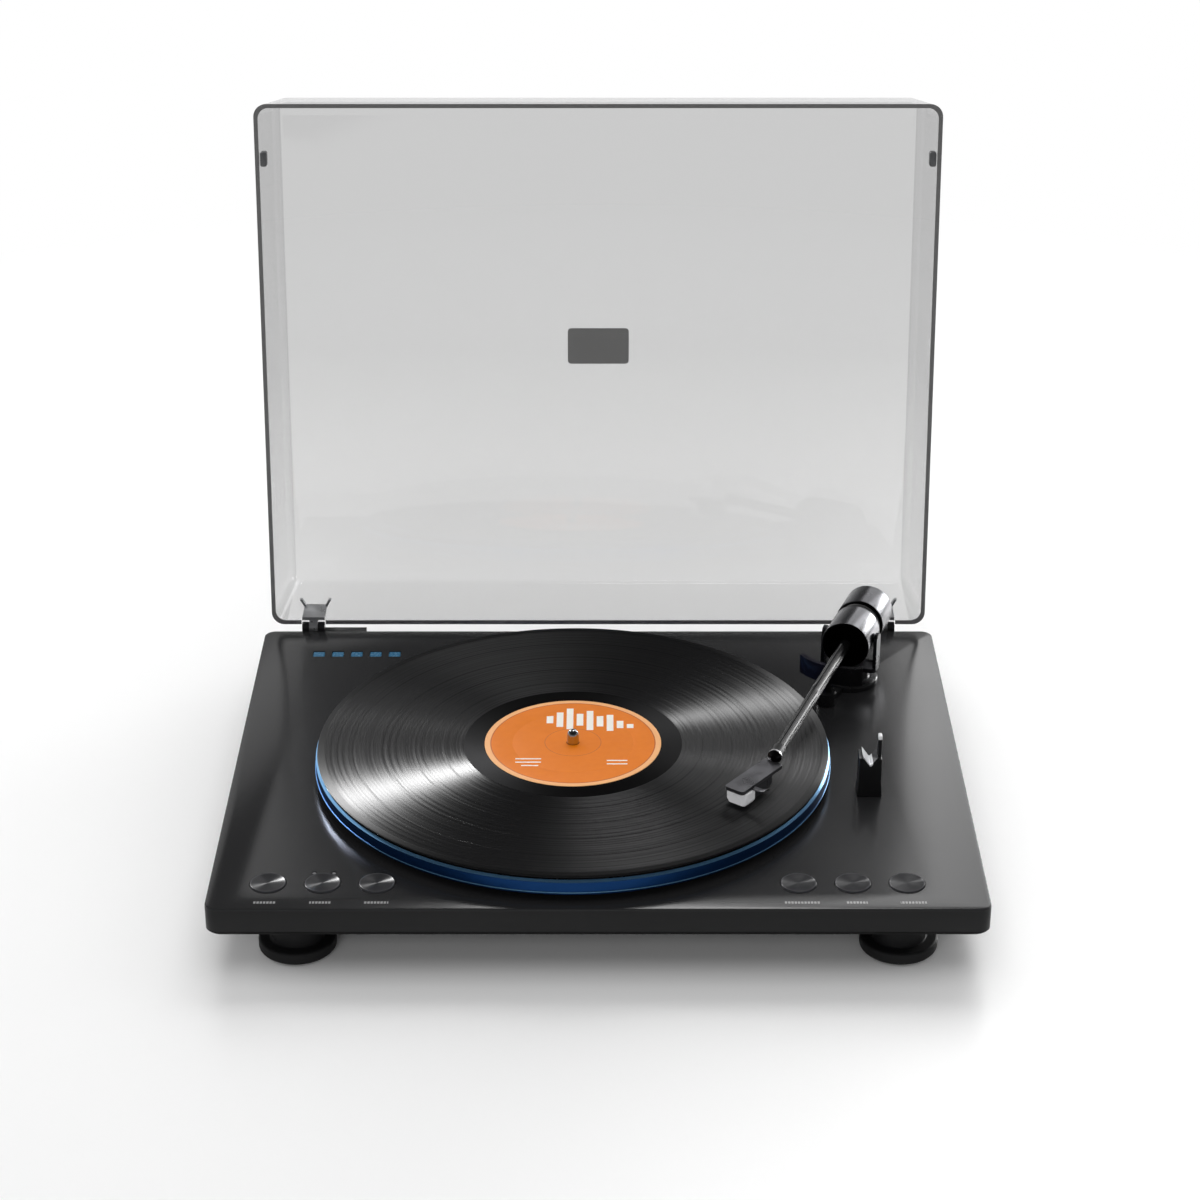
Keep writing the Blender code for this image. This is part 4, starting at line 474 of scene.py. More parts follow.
# Base pan: a plate of the same plastic that closes the casing from below, with the belly that holds
# the motor. It is screwed to the casing's bosses.
pan_black = Finish("pan_black", grey(26), 0.5).relief(0.00005, 0.4, 1500, 3).drift(0.42, 0.58, 40)


def refinish(node, finish, edge=0.0):
    """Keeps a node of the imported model, with a new finish and a fine rounding of its edges."""
    coat(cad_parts[node], finish, edge, 2, 40)


refinish("base_pan", pan_black)

# Feet: four wide discs on a short neck, moulded in matt black plastic and pushed into the pan, each
# with a rubber sole set into its underside.
foot_black = Finish("foot_matt_black", grey(22), 0.5, specular=0.25)
foot_black.relief(0.00003, 0.4, 1800).drift(0.5, 0.6, 30)
sole_rubber = Finish("sole_rubber", grey(24), 0.8).relief(0.0001, 0.6, 900, 3).tint(grey(20), grey(30), 60)
FOOT_RADIUS, FOOT_LOW, DISC_TOP, NECK_RADIUS, NECK_ROUND = 0.0218, 0.0008, 0.0086, 0.015, 0.0012
for place in ("front_left", "front_right", "rear_left", "rear_right"):
    low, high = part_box("foot_" + place)
    body = [(0, 0.0031), (0.0183, 0.0031), (0.0183, FOOT_LOW)]
    body += lower_round(FOOT_RADIUS, FOOT_LOW, 0.0028, 8) + upper_round(FOOT_RADIUS, DISC_TOP, 0.0014, 6)
    body += arc(NECK_RADIUS + NECK_ROUND, DISC_TOP + NECK_ROUND, NECK_ROUND, -90, -180, 6)
    body += [(NECK_RADIUS, high.z), (0, high.z)]
    foot = piece("foot_" + place + "_turned", lathe(body, 96), (*centre(low, high), 0))
    fit(foot, "plinth", foot_black, "foot_" + place, sharp=50)
    sole = [(0, 0)] + lower_round(0.018, 0, 0.0008, 4) + [(0.018, 0.002), (0, 0.002)]
    pad = piece("foot_sole_" + place + "_turned", lathe(sole, 64), (*centre(low, high), 0))
    fit(pad, "plinth", sole_rubber, "foot_sole_" + place, sharp=50)

# Platter: a cast and turned alloy disc that runs on the spindle, with a rim for weight and a ring
# below it for the belt. Little of it shows under the band and the mat.
platter_alloy = Finish("platter_turned_alloy", srgb(150, 151, 154), 0.3, Metallic=1.0)


def rings(finish, pitch):
    """A wave that runs in rings round the spindle, seen from above, and the distance from it."""
    x, y, z = finish.xyz()
    radius = ((x - SPINDLE[0]) * (x - SPINDLE[0]) + (y - SPINDLE[1]) * (y - SPINDLE[1])).root()
    return radius.wave(pitch), radius


platter_alloy.bump(rings(platter_alloy, 0.0006)[0], 0.00002, 0.5)
platter_alloy.drift(0.24, 0.36, 60)
BORE, HUB = 0.00385, 0.011
PLATTER_RADIUS, RIM_WALL = 0.15, 0.0035
PLATTER_TOP, PLATE_LOW = 0.0116, 0.0086
BELT_RING_OUT, BELT_RING_IN, BELT_RING_LOW = 0.084, 0.081, 0.0028
alloy = [(BORE, PLATTER_TOP)] + upper_round(PLATTER_RADIUS, PLATTER_TOP, 0.0009, 5)[::-1]
alloy += [(PLATTER_RADIUS, 0.004), (PLATTER_RADIUS - RIM_WALL, 0.004), (PLATTER_RADIUS - RIM_WALL, PLATE_LOW),
          (BELT_RING_OUT, PLATE_LOW), (BELT_RING_OUT, BELT_RING_LOW), (BELT_RING_IN, BELT_RING_LOW),
          (BELT_RING_IN, PLATE_LOW), (HUB, PLATE_LOW), (HUB, 0.006), (BORE, 0.006)]
platter = piece("platter_casting", lathe(alloy, 256), (*SPINDLE, DECK))
fit(platter, "turning_platter", platter_alloy, "platter", sharp=35)

# Platter band: a blue anodised ring shrunk on the rim. Its upper edge is chamfered and a round bead runs
# along its foot, both polished; both are painted paler blue than the face, a painted highlight for the line
# of light they catch.
band_blue = Finish("band_anodised_blue", srgb(30, 80, 140), 0.3, Metallic=0.9)
BAND_LIP, BAND_CHAMFER = 0.0060, 0.0121
band_blue.relief(0.00001, 0.35, 1, 2, (20, 20, 9000)).drift(0.34, 0.46, 1, 2, (30, 30, 4000))
x, y, z = band_blue.xyz()
# Painted highlight: the bead at the foot and the chamfered top are painted pale blue.
lip = (z < DECK + BAND_LIP + 0.0004) * (z > DECK + BAND_LIP - 0.0007)
bright = lip.most(z > DECK + BAND_CHAMFER)
band_blue.paint(bright, srgb(18, 58, 108), srgb(108, 158, 200))
BAND_IN, BAND_OUT = PLATTER_RADIUS + GAP, PLATTER_RADIUS + GAP + 0.002
ring = [(BAND_IN, 0.0045), (BAND_OUT - 0.0007, 0.0045), (BAND_OUT - 0.0006, BAND_LIP - 0.0005)]
ring += arc(BAND_OUT - 0.0005, BAND_LIP, 0.0005, -80, 75, 8)
ring += [(BAND_OUT - 0.0006, BAND_CHAMFER), (BAND_IN + 0.0002, 0.0134), (BAND_IN, 0.0134)]
band = piece("platter_band_turned", lathe(ring, 320), (*SPINDLE, DECK))
fit(band, "turning_platter", band_blue, "platter_band", sharp=35)

# Mat: a sheet of black rubber that lies loose between platter and record, with shallow rings moulded
# in its face so that the record doesn't slip.
mat_rubber = Finish("mat_rubber", grey(26), 0.75)
mat_rubber.bump(rings(mat_rubber, 0.004)[0], 0.0003, 0.7)
mat_rubber.tint(grey(22), grey(31), 80)
MAT_RADIUS, MAT_LOW, MAT_TOP, MAT_ROUND = 0.1475, 0.0119, 0.0139, 0.0004
sheet = [(BORE, MAT_LOW)] + lower_round(MAT_RADIUS, MAT_LOW, MAT_ROUND, 3)
sheet += upper_round(MAT_RADIUS, MAT_TOP, MAT_ROUND, 3) + [(BORE, MAT_TOP)]
mat = piece("platter_mat_rubber", lathe(sheet, 192), (*SPINDLE, DECK))
fit(mat, "turning_platter", mat_rubber, "platter_mat", sharp=35)

# Record: a pressed black vinyl disc with a round bead at its edge and a fine spiral groove, which
# breaks the light into fans. Plain bands part the tracks, and the run-out round the label stays dark.
vinyl = Finish("record_vinyl", grey(12), 0.4, specular=0.3, Anisotropic=1.0, Anisotropic_Rotation=0.25)
GROOVE_IN, GROOVE_OUT = 0.0645, 0.1462
TRACK_ENDS, TRACK_GAP = (0.0762, 0.0935, 0.1102, 0.1284), 0.0011
coarse, reach = rings(vinyl, 0.0023)
breaks = total([(reach > at) * (reach < at + TRACK_GAP) for at in TRACK_ENDS])
grooved = (reach > GROOVE_IN) * (reach < GROOVE_OUT) * (1 - breaks)
tone = vinyl.noise(1, 3, (1, 1, 1), vinyl.node("CombineXYZ", None, {0: reach * 520}))
loudness = vinyl.ramp(tone, 0.4, 0.6)
vinyl.bump(coarse * grooved * loudness, 0.00003, 0.8)
run_out = reach < GROOVE_IN
vinyl.vary("Roughness", 0.55 + run_out * 0.4 - grooved * (0.24 - loudness * 0.16))
vinyl.vary("Metallic", run_out)
vinyl.paint(tone * grooved, grey(12), grey(18))
RECORD_LOW, LABEL_SEAT, RECORD_TOP = 0.0142, 0.0154, 0.016
RECORD_RADIUS, LABEL_RADIUS, BEAD = 0.1508, 0.0522, 0.0009
FACE = RECORD_TOP - 0.0003
disc = [(BORE, RECORD_LOW), (RECORD_RADIUS - BEAD, RECORD_LOW)]
disc += arc(RECORD_RADIUS - BEAD, RECORD_LOW + BEAD, BEAD, -80, 80, 8)
disc += arc(RECORD_RADIUS - 0.0034, 0.0130, 0.0030, 75, 105, 4)
disc += [(RECORD_RADIUS - 0.006, FACE), (0.0575, FACE), (0.0566, RECORD_TOP - 0.00015),
         (LABEL_RADIUS + GAP, RECORD_TOP - 0.00012), (LABEL_RADIUS + GAP, LABEL_SEAT), (BORE, LABEL_SEAT)]
disc = [(r, min(h, RECORD_TOP)) for r, h in disc]
record = piece("record_pressed", lathe(disc, 320), (*SPINDLE, DECK))
fit(record, "turning_platter", vinyl, "record", sharp=40)

# Record label: a round of printed paper pressed into the disc, orange with a paler edge and a made-up
# pattern of pale blocks and two fine rings. The blocks are (x, y, width, depth) in millimetres.
label_print = Finish("label_print_orange", srgb(228, 128, 50), 0.5, specular=0.1)
x, y, z = label_print.xyz()
u, v = (x - SPINDLE[0]) / 0.001, (y - SPINDLE[1]) / 0.001
paper_colour = label_print.blend(label_print.noise(220, 4), srgb(226, 118, 6), srgb(234, 128, 16))
BLOCKS = ((-14, 28, 4, 9), (-8, 28, 4, 18), (-2, 29, 4, 26), (4, 28, 4, 15), (10, 27, 4, 24),
          (16, 26, 4, 13), (22, 24, 4, 20), (28, 22, 4, 9), (34, 20, 4, 5), (-26, -20, 15, 1.2),
          (-26, -24, 15, 1.2), (-25, -28, 10, 1.2), (26, -22, 12, 1.2), (26, -26, 12, 1.2))
blocks = total([((u - across).size() < wide / 2) * ((v - along).size() < deep / 2)
                for across, along, wide, deep in BLOCKS])
PRINT_EDGE = 48.9
out = (u * u + v * v).root()
lines = total([(out > low) * (out < high) for low, high in ((48.2, PRINT_EDGE), (16.4, 16.8))])
printed = label_print.blend(out > PRINT_EDGE, paper_colour, srgb(246, 182, 122))
printed = label_print.blend(lines, printed, srgb(196, 104, 44))
label_print.paint(blocks, printed, srgb(244, 240, 232))
label_print.relief(0.00003, 0.4, 1400, 3).drift(0.42, 0.58, 90)
LABEL_LOW, PRESSED = 0.0157, 0.00008
paper = [(BORE, LABEL_LOW), (LABEL_RADIUS, LABEL_LOW)] + upper_round(LABEL_RADIUS, RECORD_TOP, 0.0001, 3)
paper += [(0.0365, RECORD_TOP), (0.0361, RECORD_TOP - PRESSED), (0.0355, RECORD_TOP - PRESSED),
          (0.0351, RECORD_TOP), (BORE, RECORD_TOP)]
label = piece("record_label_paper", lathe(paper, 192), (*SPINDLE, DECK))
fit(label, "turning_platter", label_print, "record_label", sharp=40)

# Spindle: a ground steel pin with a polished round nose, which carries the platter and centres the
# record. It turns in the bearing bush below the deck.
steel = Finish("polished_steel", srgb(190, 191, 194), 0.14, Metallic=1.0)
steel.relief(0.00001, 0.3, 1, 2, (300, 300, 6000)).drift(0.1, 0.2, 120)
PIN, PIN_LOW = 0.00355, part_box("spindle")[0].z - DECK
pin = [(0, 0.0245), (0.0012, 0.0244), (0.0021, 0.02405), (0.0028, 0.02335), (0.0033, 0.0222),
       (PIN, 0.0208), (PIN, 0), (PIN, PIN_LOW), (0, PIN_LOW)]
spindle = piece("spindle_ground", lathe(pin, 64), (*SPINDLE, DECK))
fit(spindle, "turning_platter", steel, "spindle", sharp=50)

# Push buttons: six turned aluminium caps, black anodised, their faces spun with fine rings that throw
# a bow-tie of light. Each stands just proud of its hole and rides on a stem with a flange.
button_black = Finish("button_spun_black", grey(40, 2), 0.36, specular=0.12,
                      Anisotropic=0.9, Anisotropic_Rotation=0.25)
x, y, z = button_black.xyz()
offs = [x - middle for middle in sorted(place[0] for place in button_places.values())]
nearest = total([off * (off.size() < BUTTON_RADIUS + 0.002) for off in offs])
across = y - button_places["power"][1]
spin = (nearest * nearest + across * across).root()
button_black.bump(spin.wave(0.0009), 0.000004, 0.6)
button_black.vary("Roughness", 0.32 + button_black.noise(200, 2) * 0.08)
CAP_EDGE = 0.0091
# Painted light: the rounded rim beyond CAP_EDGE is painted paler than the face, so it does not read as a dark
# ring.
button_black.paint(spin > CAP_EDGE, grey(44, 2), grey(62, 3))
FLANGE, FLANGE_TOP, FLANGE_LOW, STEM = 0.011, -0.0033, -0.0041, 0.002
for name, at in button_places.items():
    stem_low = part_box("button_" + name)[0].z - DECK
    cap = [(0, 0.0004), (0.0086, 0.00045), (0.0092, 0.0007)] + arc(0.0096, 0.0005, 0.0003, 120, 0, 5)
    cap += [(BUTTON_RADIUS, FLANGE_TOP), (FLANGE, FLANGE_TOP), (FLANGE, FLANGE_LOW), (STEM, FLANGE_LOW),
            (STEM, stem_low), (0, stem_low)]
    knob = piece("button_cap_" + name, lathe(cap, 96), (*at, DECK))
    fit(knob, name + "_button", button_black, "button_" + name, sharp=45)

# Lit bars and speed lamps: clear acrylic light guides that come up flush through the deck, lit from the
# boards below, an even blue row at the rear left and two small pale rounds behind the speed button.
ACRYLIC = srgb(176, 196, 226)


def light_guide(name, dim, bright, strength):
    """Clear acrylic whose face at the deck glows between two colours."""
    acrylic = Finish(name, ACRYLIC, 0.25, Emission_Strength=strength)
    lit = acrylic.xyz()[2] > DECK - 0.0012
    flicker = acrylic.noise(600, 2)
    acrylic.vary("Emission Color", acrylic.blend(lit, (0, 0, 0, 1), acrylic.blend(flicker, dim, bright)))
    acrylic.paint(lit, ACRYLIC, dim)
    acrylic.vary("Roughness", acrylic.ramp(flicker, 0.3, 0.7, 0.2, 0.32))
    return acrylic


blue_glow = light_guide("light_guide_blue", srgb(26, 80, 112), srgb(60, 128, 160), 0.25)
white_glow = light_guide("light_guide_white", grey(84, 2), grey(112, 2), 0.4)
GUIDE_PLATE, GUIDE_EDGE = 0.0016, 0.0003
low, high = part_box("deck_light_bars")
bars = bmesh.new()
prism(box(high.x - low.x, 2 * GLOW_DEPTH, centre(low, high)[0], GLOW_Y), low.z, low.z + GUIDE_PLATE, bars)
for at in GLOW_X:
    loft([(rounded(GLOW_WIDTH, GLOW_DEPTH, 0.0006 - cut, at, GLOW_Y, 4, cut), h)
          for cut, h in ((0, low.z + GUIDE_PLATE), (0, high.z - GUIDE_EDGE), (GUIDE_EDGE, high.z))], bars)
guide = piece("deck_light_bars_acrylic", bars)
fit(guide, "plinth", blue_glow, "deck_light_bars")
low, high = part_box("speed_lights")
lamps = bmesh.new()
plate_y = SPEED_LIGHTS[0][1] + 0.0031
prism(box(high.x - low.x, 0.0048, centre(low, high)[0], plate_y), low.z, DECK - 0.0042, lamps)
for x, y in SPEED_LIGHTS:
    prism(box(0.002, 0.0012, x, y + 0.001), low.z + 0.0002, low.z + 0.0012, lamps)
    loft([(circle(r, x, y, 32), h) for r, h in ((0.0012, low.z + 0.0002), (0.0012, high.z - GUIDE_EDGE),
                                                (0.0012 - GUIDE_EDGE, high.z))], lamps)
rods = piece("speed_lights_acrylic", lamps)
fit(rods, "plinth", white_glow, "speed_lights")

# Tonearm base: a flanged round pillar moulded in black, screwed to the deck, with the guide of the
# lifter's post on a web at its side.
arm_black = Finish("arm_gloss_black", grey(20), 0.24, specular=0.4)
arm_black.relief(0.00001, 0.4, 1200).drift(0.18, 0.3, 70).tint(grey(17), grey(24), 25, 2)
ARM = 0.031
PILLAR, PILLAR_RADIUS, BASE_RADIUS, BASE_TOP = 0.0102, 0.012, 0.0175, 0.004
SLEEVE_OUT, SLEEVE_IN, SLEEVE_LOW = 0.0075, 0.0043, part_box("arm_base")[0].z - DECK
GUIDE_RADIUS, GUIDE_TOP = 0.0058, 0.009
base = [(SLEEVE_IN, PILLAR)] + upper_round(PILLAR_RADIUS, PILLAR, 0.0006, 4)[::-1]
base += arc(PILLAR_RADIUS + 0.0008, BASE_TOP + 0.0008, 0.0008, 180, 270, 4)
base += upper_round(BASE_RADIUS, BASE_TOP, 0.0012, 6)[::-1]
base += [(BASE_RADIUS, GAP), (SLEEVE_OUT, GAP), (SLEEVE_OUT, SLEEVE_LOW), (SLEEVE_IN, SLEEVE_LOW)]
arm_base = piece("arm_base_turned", lathe(base, 128), (*PIVOT, DECK))
web = box(LIFTER_REACH - PILLAR_RADIUS, GUIDE_RADIUS, (LIFTER_REACH + PILLAR_RADIUS) / 2)
weld(arm_base, prism(web, 2 * GAP, 0.0028), (*PIVOT, DECK), (0, 0, LIFTER_BEARING))
guide = [(0, GAP), (GUIDE_RADIUS, GAP), (GUIDE_RADIUS, GUIDE_TOP - 0.0006),
         (GUIDE_RADIUS - 0.0006, GUIDE_TOP), (0, GUIDE_TOP)]
weld(arm_base, lathe(guide, 64), (*LIFTER, DECK))
weld(arm_base, prism(circle(0.0052, sides=48), -0.011, 0.002), (*LIFTER, DECK))
carve(arm_base, prism(circle(0.0029, sides=48), -0.013, 0.011), (*LIFTER, DECK))
fit(arm_base, "plinth", arm_black, "arm_base", edge=0.0002)

# Arm lifter: a curved blade on a post that comes up through its guide under the tube, cast in a
# dark metal with a faint violet cast from its anodising.
lifter_dark = Finish("lifter_dark_anodised", srgb(36, 35, 60), 0.26, Metallic=0.6)
lifter_dark.relief(0.00002, 0.5, 900).drift(0.16, 0.3, 60)
x, y, z = lifter_dark.xyz()
violet = lifter_dark.blend(lifter_dark.noise(30, 2), srgb(24, 23, 34), srgb(34, 32, 50))
lifter_dark.paint(x > PIVOT[0] - BASE_RADIUS, violet, grey(22, 2))
LIFTER_TOP, BLADE_DEPTH, BLADE_HALF, POST_RADIUS, POST_LOW = 0.027, 0.012, 0.0015, 0.0026, -0.0107
blade = arc(0, 0, LIFTER_REACH + BLADE_HALF, 208, 277, 40)
blade += arc(0, 0, LIFTER_REACH - BLADE_HALF, 277, 208, 40)
lifter = piece("arm_lifter_blade", prism(blade, LIFTER_TOP - BLADE_DEPTH, LIFTER_TOP), (*PIVOT, DECK))
weld(lifter, prism(circle(POST_RADIUS, sides=48), POST_LOW, LIFTER_TOP - BLADE_DEPTH / 2), (*LIFTER, DECK))
fit(lifter, "lifter", lifter_dark, "arm_lifter", edge=0.0004)

# Tonearm yoke: a fork machined from one block of grey alloy. It turns on the vertical shaft and holds
# the drum between two gimbal pins.
yoke_grey = Finish("yoke_machined_grey", grey(46, 3), 0.28, Metallic=0.9)
yoke_grey.relief(0.00002, 0.5, 1, 3, (400, 400, 2500)).drift(0.22, 0.36, 80)
SIDE, CHEEK, GIMBAL_PIN = 0.0156, 0.0022, 0.0016
ARM_ANGLE = -19.9
SIDEWAYS = Matrix(((0, 0, 1), (1, 0, 0), (0, 1, 0))).to_4x4()
AXLE, SWIVEL = (*PIVOT, DECK + ARM), (0, 0, ARM_ANGLE)
FORK_LOW, BRIDGE, CHEEK_RADIUS = PILLAR - ARM + GAP, 0.0028, 0.0045
BRIDGE_MIDDLE = FORK_LOW + BRIDGE / 2
bridge = prism(rounded(2 * (SIDE + CHEEK), 0.013, 0.0043), FORK_LOW, FORK_LOW + BRIDGE)
yoke = piece("arm_yoke_block", bridge, AXLE, SWIVEL)
cheek = arc(0, 0, CHEEK_RADIUS, 0, 180, 24)
cheek += [(-CHEEK_RADIUS, BRIDGE_MIDDLE), (CHEEK_RADIUS, BRIDGE_MIDDLE)]
for edge in (SIDE, -SIDE - CHEEK):
    weld(yoke, put(prism(cheek, edge, edge + CHEEK), SIDEWAYS), AXLE, SWIVEL)
for near, far in ((0.0123, SIDE + CHEEK / 2), (-SIDE - CHEEK / 2, -0.0123)):
    weld(yoke, put(prism(circle(GIMBAL_PIN, sides=32), near, far), SIDEWAYS), AXLE, SWIVEL)
shaft = prism(circle(0.004, sides=48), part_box("arm_yoke")[0].z - DECK - ARM, BRIDGE_MIDDLE)
weld(yoke, shaft, AXLE, SWIVEL)
fit(yoke, "arm_bearing", yoke_grey, "arm_yoke", edge=0.0003)

# Drum: the barrel that the tube plugs into, turned and plated in dark chrome, with black end faces and
# its front face sunk a little inside the rim. Two blind holes in its sides take the gimbal pins.
DRUM_HALF, DRUM_RADIUS, DRUM_ROUND, TUBE_BORE = 0.014, 0.015, 0.0012, 0.0038
drum_body = [(TUBE_BORE, 0.0008 - DRUM_HALF), (0.0126, 0.0008 - DRUM_HALF), (0.0126, -DRUM_HALF)]
drum_body += lower_round(DRUM_RADIUS, -DRUM_HALF, DRUM_ROUND, 6)
drum_body += upper_round(DRUM_RADIUS, DRUM_HALF, DRUM_ROUND, 6) + [(0, DRUM_HALF), (0, 0), (TUBE_BORE, 0)]
ALONG = (-90, 0, ARM_ANGLE)
drum = piece("arm_drum_turned", lathe(drum_body, 128), AXLE, ALONG)
for near, far in ((0.012, 0.017), (-0.017, -0.012)):
    carve(drum, put(prism(circle(GIMBAL_PIN + GAP, sides=32), near, far), SIDEWAYS), AXLE, SWIVEL)
drum_chrome = Finish("drum_dark_chrome", grey(104, 3), 0.2, Metallic=1.0)
turn_arm = math.radians(ARM_ANGLE)


def behind_axle(finish):
    """How far a point lies behind the gimbal axle, along the arm."""
    x, y, z = finish.xyz()
    return (x - AXLE[0]) * math.sin(-turn_arm) + (y - AXLE[1]) * math.cos(turn_arm)


along = behind_axle(drum_chrome)
face = (along < -0.0131).most(along > 0.0118)
drum_chrome.paint(face, grey(104, 3), grey(10))
drum_chrome.vary("Roughness", 0.22 + face * 0.25 + drum_chrome.noise(150, 2) * 0.06)
drum_chrome.bump(along.wave(0.0006), 0.00001, 0.25)
fit(drum, "tonearm", drum_chrome, "arm_drum", sharp=35)

# Tube: a slim straight tube, lacquered gloss black so that it draws one thin line of light, plugged into
# the drum and into the collar of the headshell.
tube_black = Finish("tube_lacquered_black", grey(12), 0.24, specular=0.28,
                    Anisotropic=0.9, Anisotropic_Rotation=0.25)
tube_black.relief(0.000004, 0.2, 1, 2, (3000, 90, 3000)).drift(0.21, 0.27, 60, 2)
TUBE_TIP, TUBE_OUT, TUBE_IN, TUBE_PLUG = 0.163, 0.0035, 0.0025, 0.0137
tube_wall = [(TUBE_IN, -TUBE_TIP), (TUBE_OUT, -TUBE_TIP), (TUBE_OUT, -GAP), (0, -GAP), (0, -TUBE_PLUG),
             (TUBE_IN, -TUBE_PLUG)]
tube = piece("arm_tube_drawn", lathe(tube_wall, 64), AXLE, ALONG)
fit(tube, "tonearm", tube_black, "arm_tube", sharp=50)

# Headshell: a flat bar of brushed grey metal, its corners rounded, set at an angle under the black
# collar by which it plugs on the tube. A thin ring at the joint is painted pale grey, a painted glint.
shell_grey = Finish("headshell_brushed_grey", grey(84, 3), 0.3, Metallic=0.85)
shell_grey.relief(0.00002, 0.6, 1, 3, (900, 180, 400)).drift(0.25, 0.38, 90)
ahead = behind_axle(shell_grey)
on_collar = shell_grey.xyz()[2] > AXLE[2] - 0.0024
# Painted glint: a thin pale ring where the collar meets the tube.
ferrule_painted_glint = (ahead + TUBE_TIP - 0.0002).size() < 0.0005
brushed = shell_grey.blend(shell_grey.noise(60, 3), grey(92, 3), grey(102, 3))
collar_paint = shell_grey.blend(ferrule_painted_glint, grey(18), grey(190, 2))
shell_grey.paint(on_collar, brushed, collar_paint)
SHELL_REAR, SHELL_LENGTH, SHELL_WIDTH = 0.1645, 0.0409, 0.0129
SHELL_TOP, SHELL_LOW = -0.0025, -0.0047
HEAD = (AXLE[0] + SHELL_REAR * math.sin(turn_arm), AXLE[1] - SHELL_REAR * math.cos(turn_arm), AXLE[2])
OFFSET_ANGLE = 17.2
OFFSET = (0, 0, ARM_ANGLE - OFFSET_ANGLE)
plate = rounded(SHELL_WIDTH, SHELL_LENGTH, 0.002, 0, -SHELL_LENGTH / 2, 10)
shell = piece("headshell_plate", prism(plate, SHELL_LOW, SHELL_TOP), HEAD, OFFSET)
collar = [(radius, past - TUBE_TIP) for radius, past in (
    (TUBE_BORE, -GAP), (0, -GAP), (0, -0.003), (0.0018, -0.003), (0.0026, -0.0024), (0.0042, -0.0008),
    (0.0042, 0.0008), (0.004, 0.0012), (0.004, 0.0086), (TUBE_BORE, 0.009))]
weld(shell, lathe(collar, 64), AXLE, ALONG)
fit(shell, "tonearm", shell_grey, "headshell", edge=0.00025)

# Finger lift: a small tab of the same metal at the side of the bar, bent up at its end, by which the arm
# is lifted by hand.
tab = [(0, 0), (0.0052, 0), (0.0064, 0.0003), (0.0095, 0.0018), (0.0095, 0.0028), (0.006, 0.00125),
       (0.0052, 0.001), (0, 0.001)]
UPRIGHT = Matrix.Rotation(math.radians(90), 4, "X")
ROOT = Matrix.Translation((SHELL_WIDTH / 2 + GAP, 0.0105 - SHELL_LENGTH, SHELL_LOW))
finger = piece("finger_lift_tab", put(prism(tab, -0.0017, 0.0017), ROOT @ UPRIGHT), HEAD, OFFSET)
fit(finger, "tonearm", shell_grey, "finger_lift", edge=0.0002)

# Cartridge: a moulded body of dark plastic screwed under the bar, stepped towards its foot, with a fine
# groove down each side and a raised block at its back.
cartridge_plastic = Finish("cartridge_plastic", grey(44, 3), 0.35)
cartridge_plastic.relief(0.00002, 0.4, 2400).drift(0.3, 0.42, 80)
SEAT = SHELL_LOW - GAP
GUARD_LENGTH, BODY_WIDTH, BODY_LENGTH, FOOT_LENGTH = 0.0085, 0.0122, 0.0185, 0.0167
NOSE = 0.0026 - SHELL_LENGTH
BACK = NOSE + GUARD_LENGTH + GAP
upper = box(BODY_WIDTH, BODY_LENGTH, 0, BACK + BODY_LENGTH / 2)
steps = [(box(0.0098, FOOT_LENGTH, 0, BACK + FOOT_LENGTH / 2), SEAT - 0.0082),
         (upper, SEAT - 0.0049), (upper, SEAT)]
body = piece("cartridge_body", loft(steps), HEAD, OFFSET)
slit, block = box(0.02, 0.0005, 0, BACK + 0.0135), box(0.0114, 0.02, 0, BACK + BODY_LENGTH / 2)
carve(body, prism(slit, SEAT - 0.0045, SEAT - 0.0009), HEAD, OFFSET)
weld(body, prism(block, SEAT - 0.0045, SEAT - 0.0009), HEAD, OFFSET)
fit(body, "tonearm", cartridge_plastic, "cartridge", edge=0.0003)

# Stylus guard: a silvery moulded shield clipped on the cartridge's nose, wider than the bar, rounded
# at its front, with the stylus tip below it.
guard_silver = Finish("guard_silver", grey(244, 2), 0.3).relief(0.00002, 0.4, 1500).drift(0.24, 0.36, 90)
STYLUS_TIP, STYLUS_RADIUS = RECORD_TOP + 0.0003 - ARM, 0.0006
FLOOR = STYLUS_TIP + 0.0012
GUARD_HALF, GUARD_ROUND = 0.0073, 0.0022
nose_line = [(GUARD_HALF, NOSE + GUARD_LENGTH), (-GUARD_HALF, NOSE + GUARD_LENGTH)]
nose_line += arc(GUARD_ROUND - GUARD_HALF, NOSE + GUARD_ROUND, GUARD_ROUND, 180, 270, 8)
nose_line += arc(GUARD_HALF - GUARD_ROUND, NOSE + GUARD_ROUND, GUARD_ROUND, 270, 360, 8)
tucked = [(x * 0.8, y) for x, y in nose_line]
shield = loft(((tucked, FLOOR), (nose_line, FLOOR + GUARD_ROUND), (nose_line, SEAT)))
guard = piece("stylus_guard_shield", shield, HEAD, OFFSET)
needle = lathe([(0, SEAT - GUARD_ROUND), (STYLUS_RADIUS, SEAT - GUARD_ROUND),
                (STYLUS_RADIUS, FLOOR - STYLUS_RADIUS), (0, STYLUS_TIP)], 16)
weld(guard, put(needle, Matrix.Translation((0, NOSE + 0.0038, 0))), HEAD, OFFSET)
fit(guard, "tonearm", guard_silver, "stylus_guard", edge=0.0003)

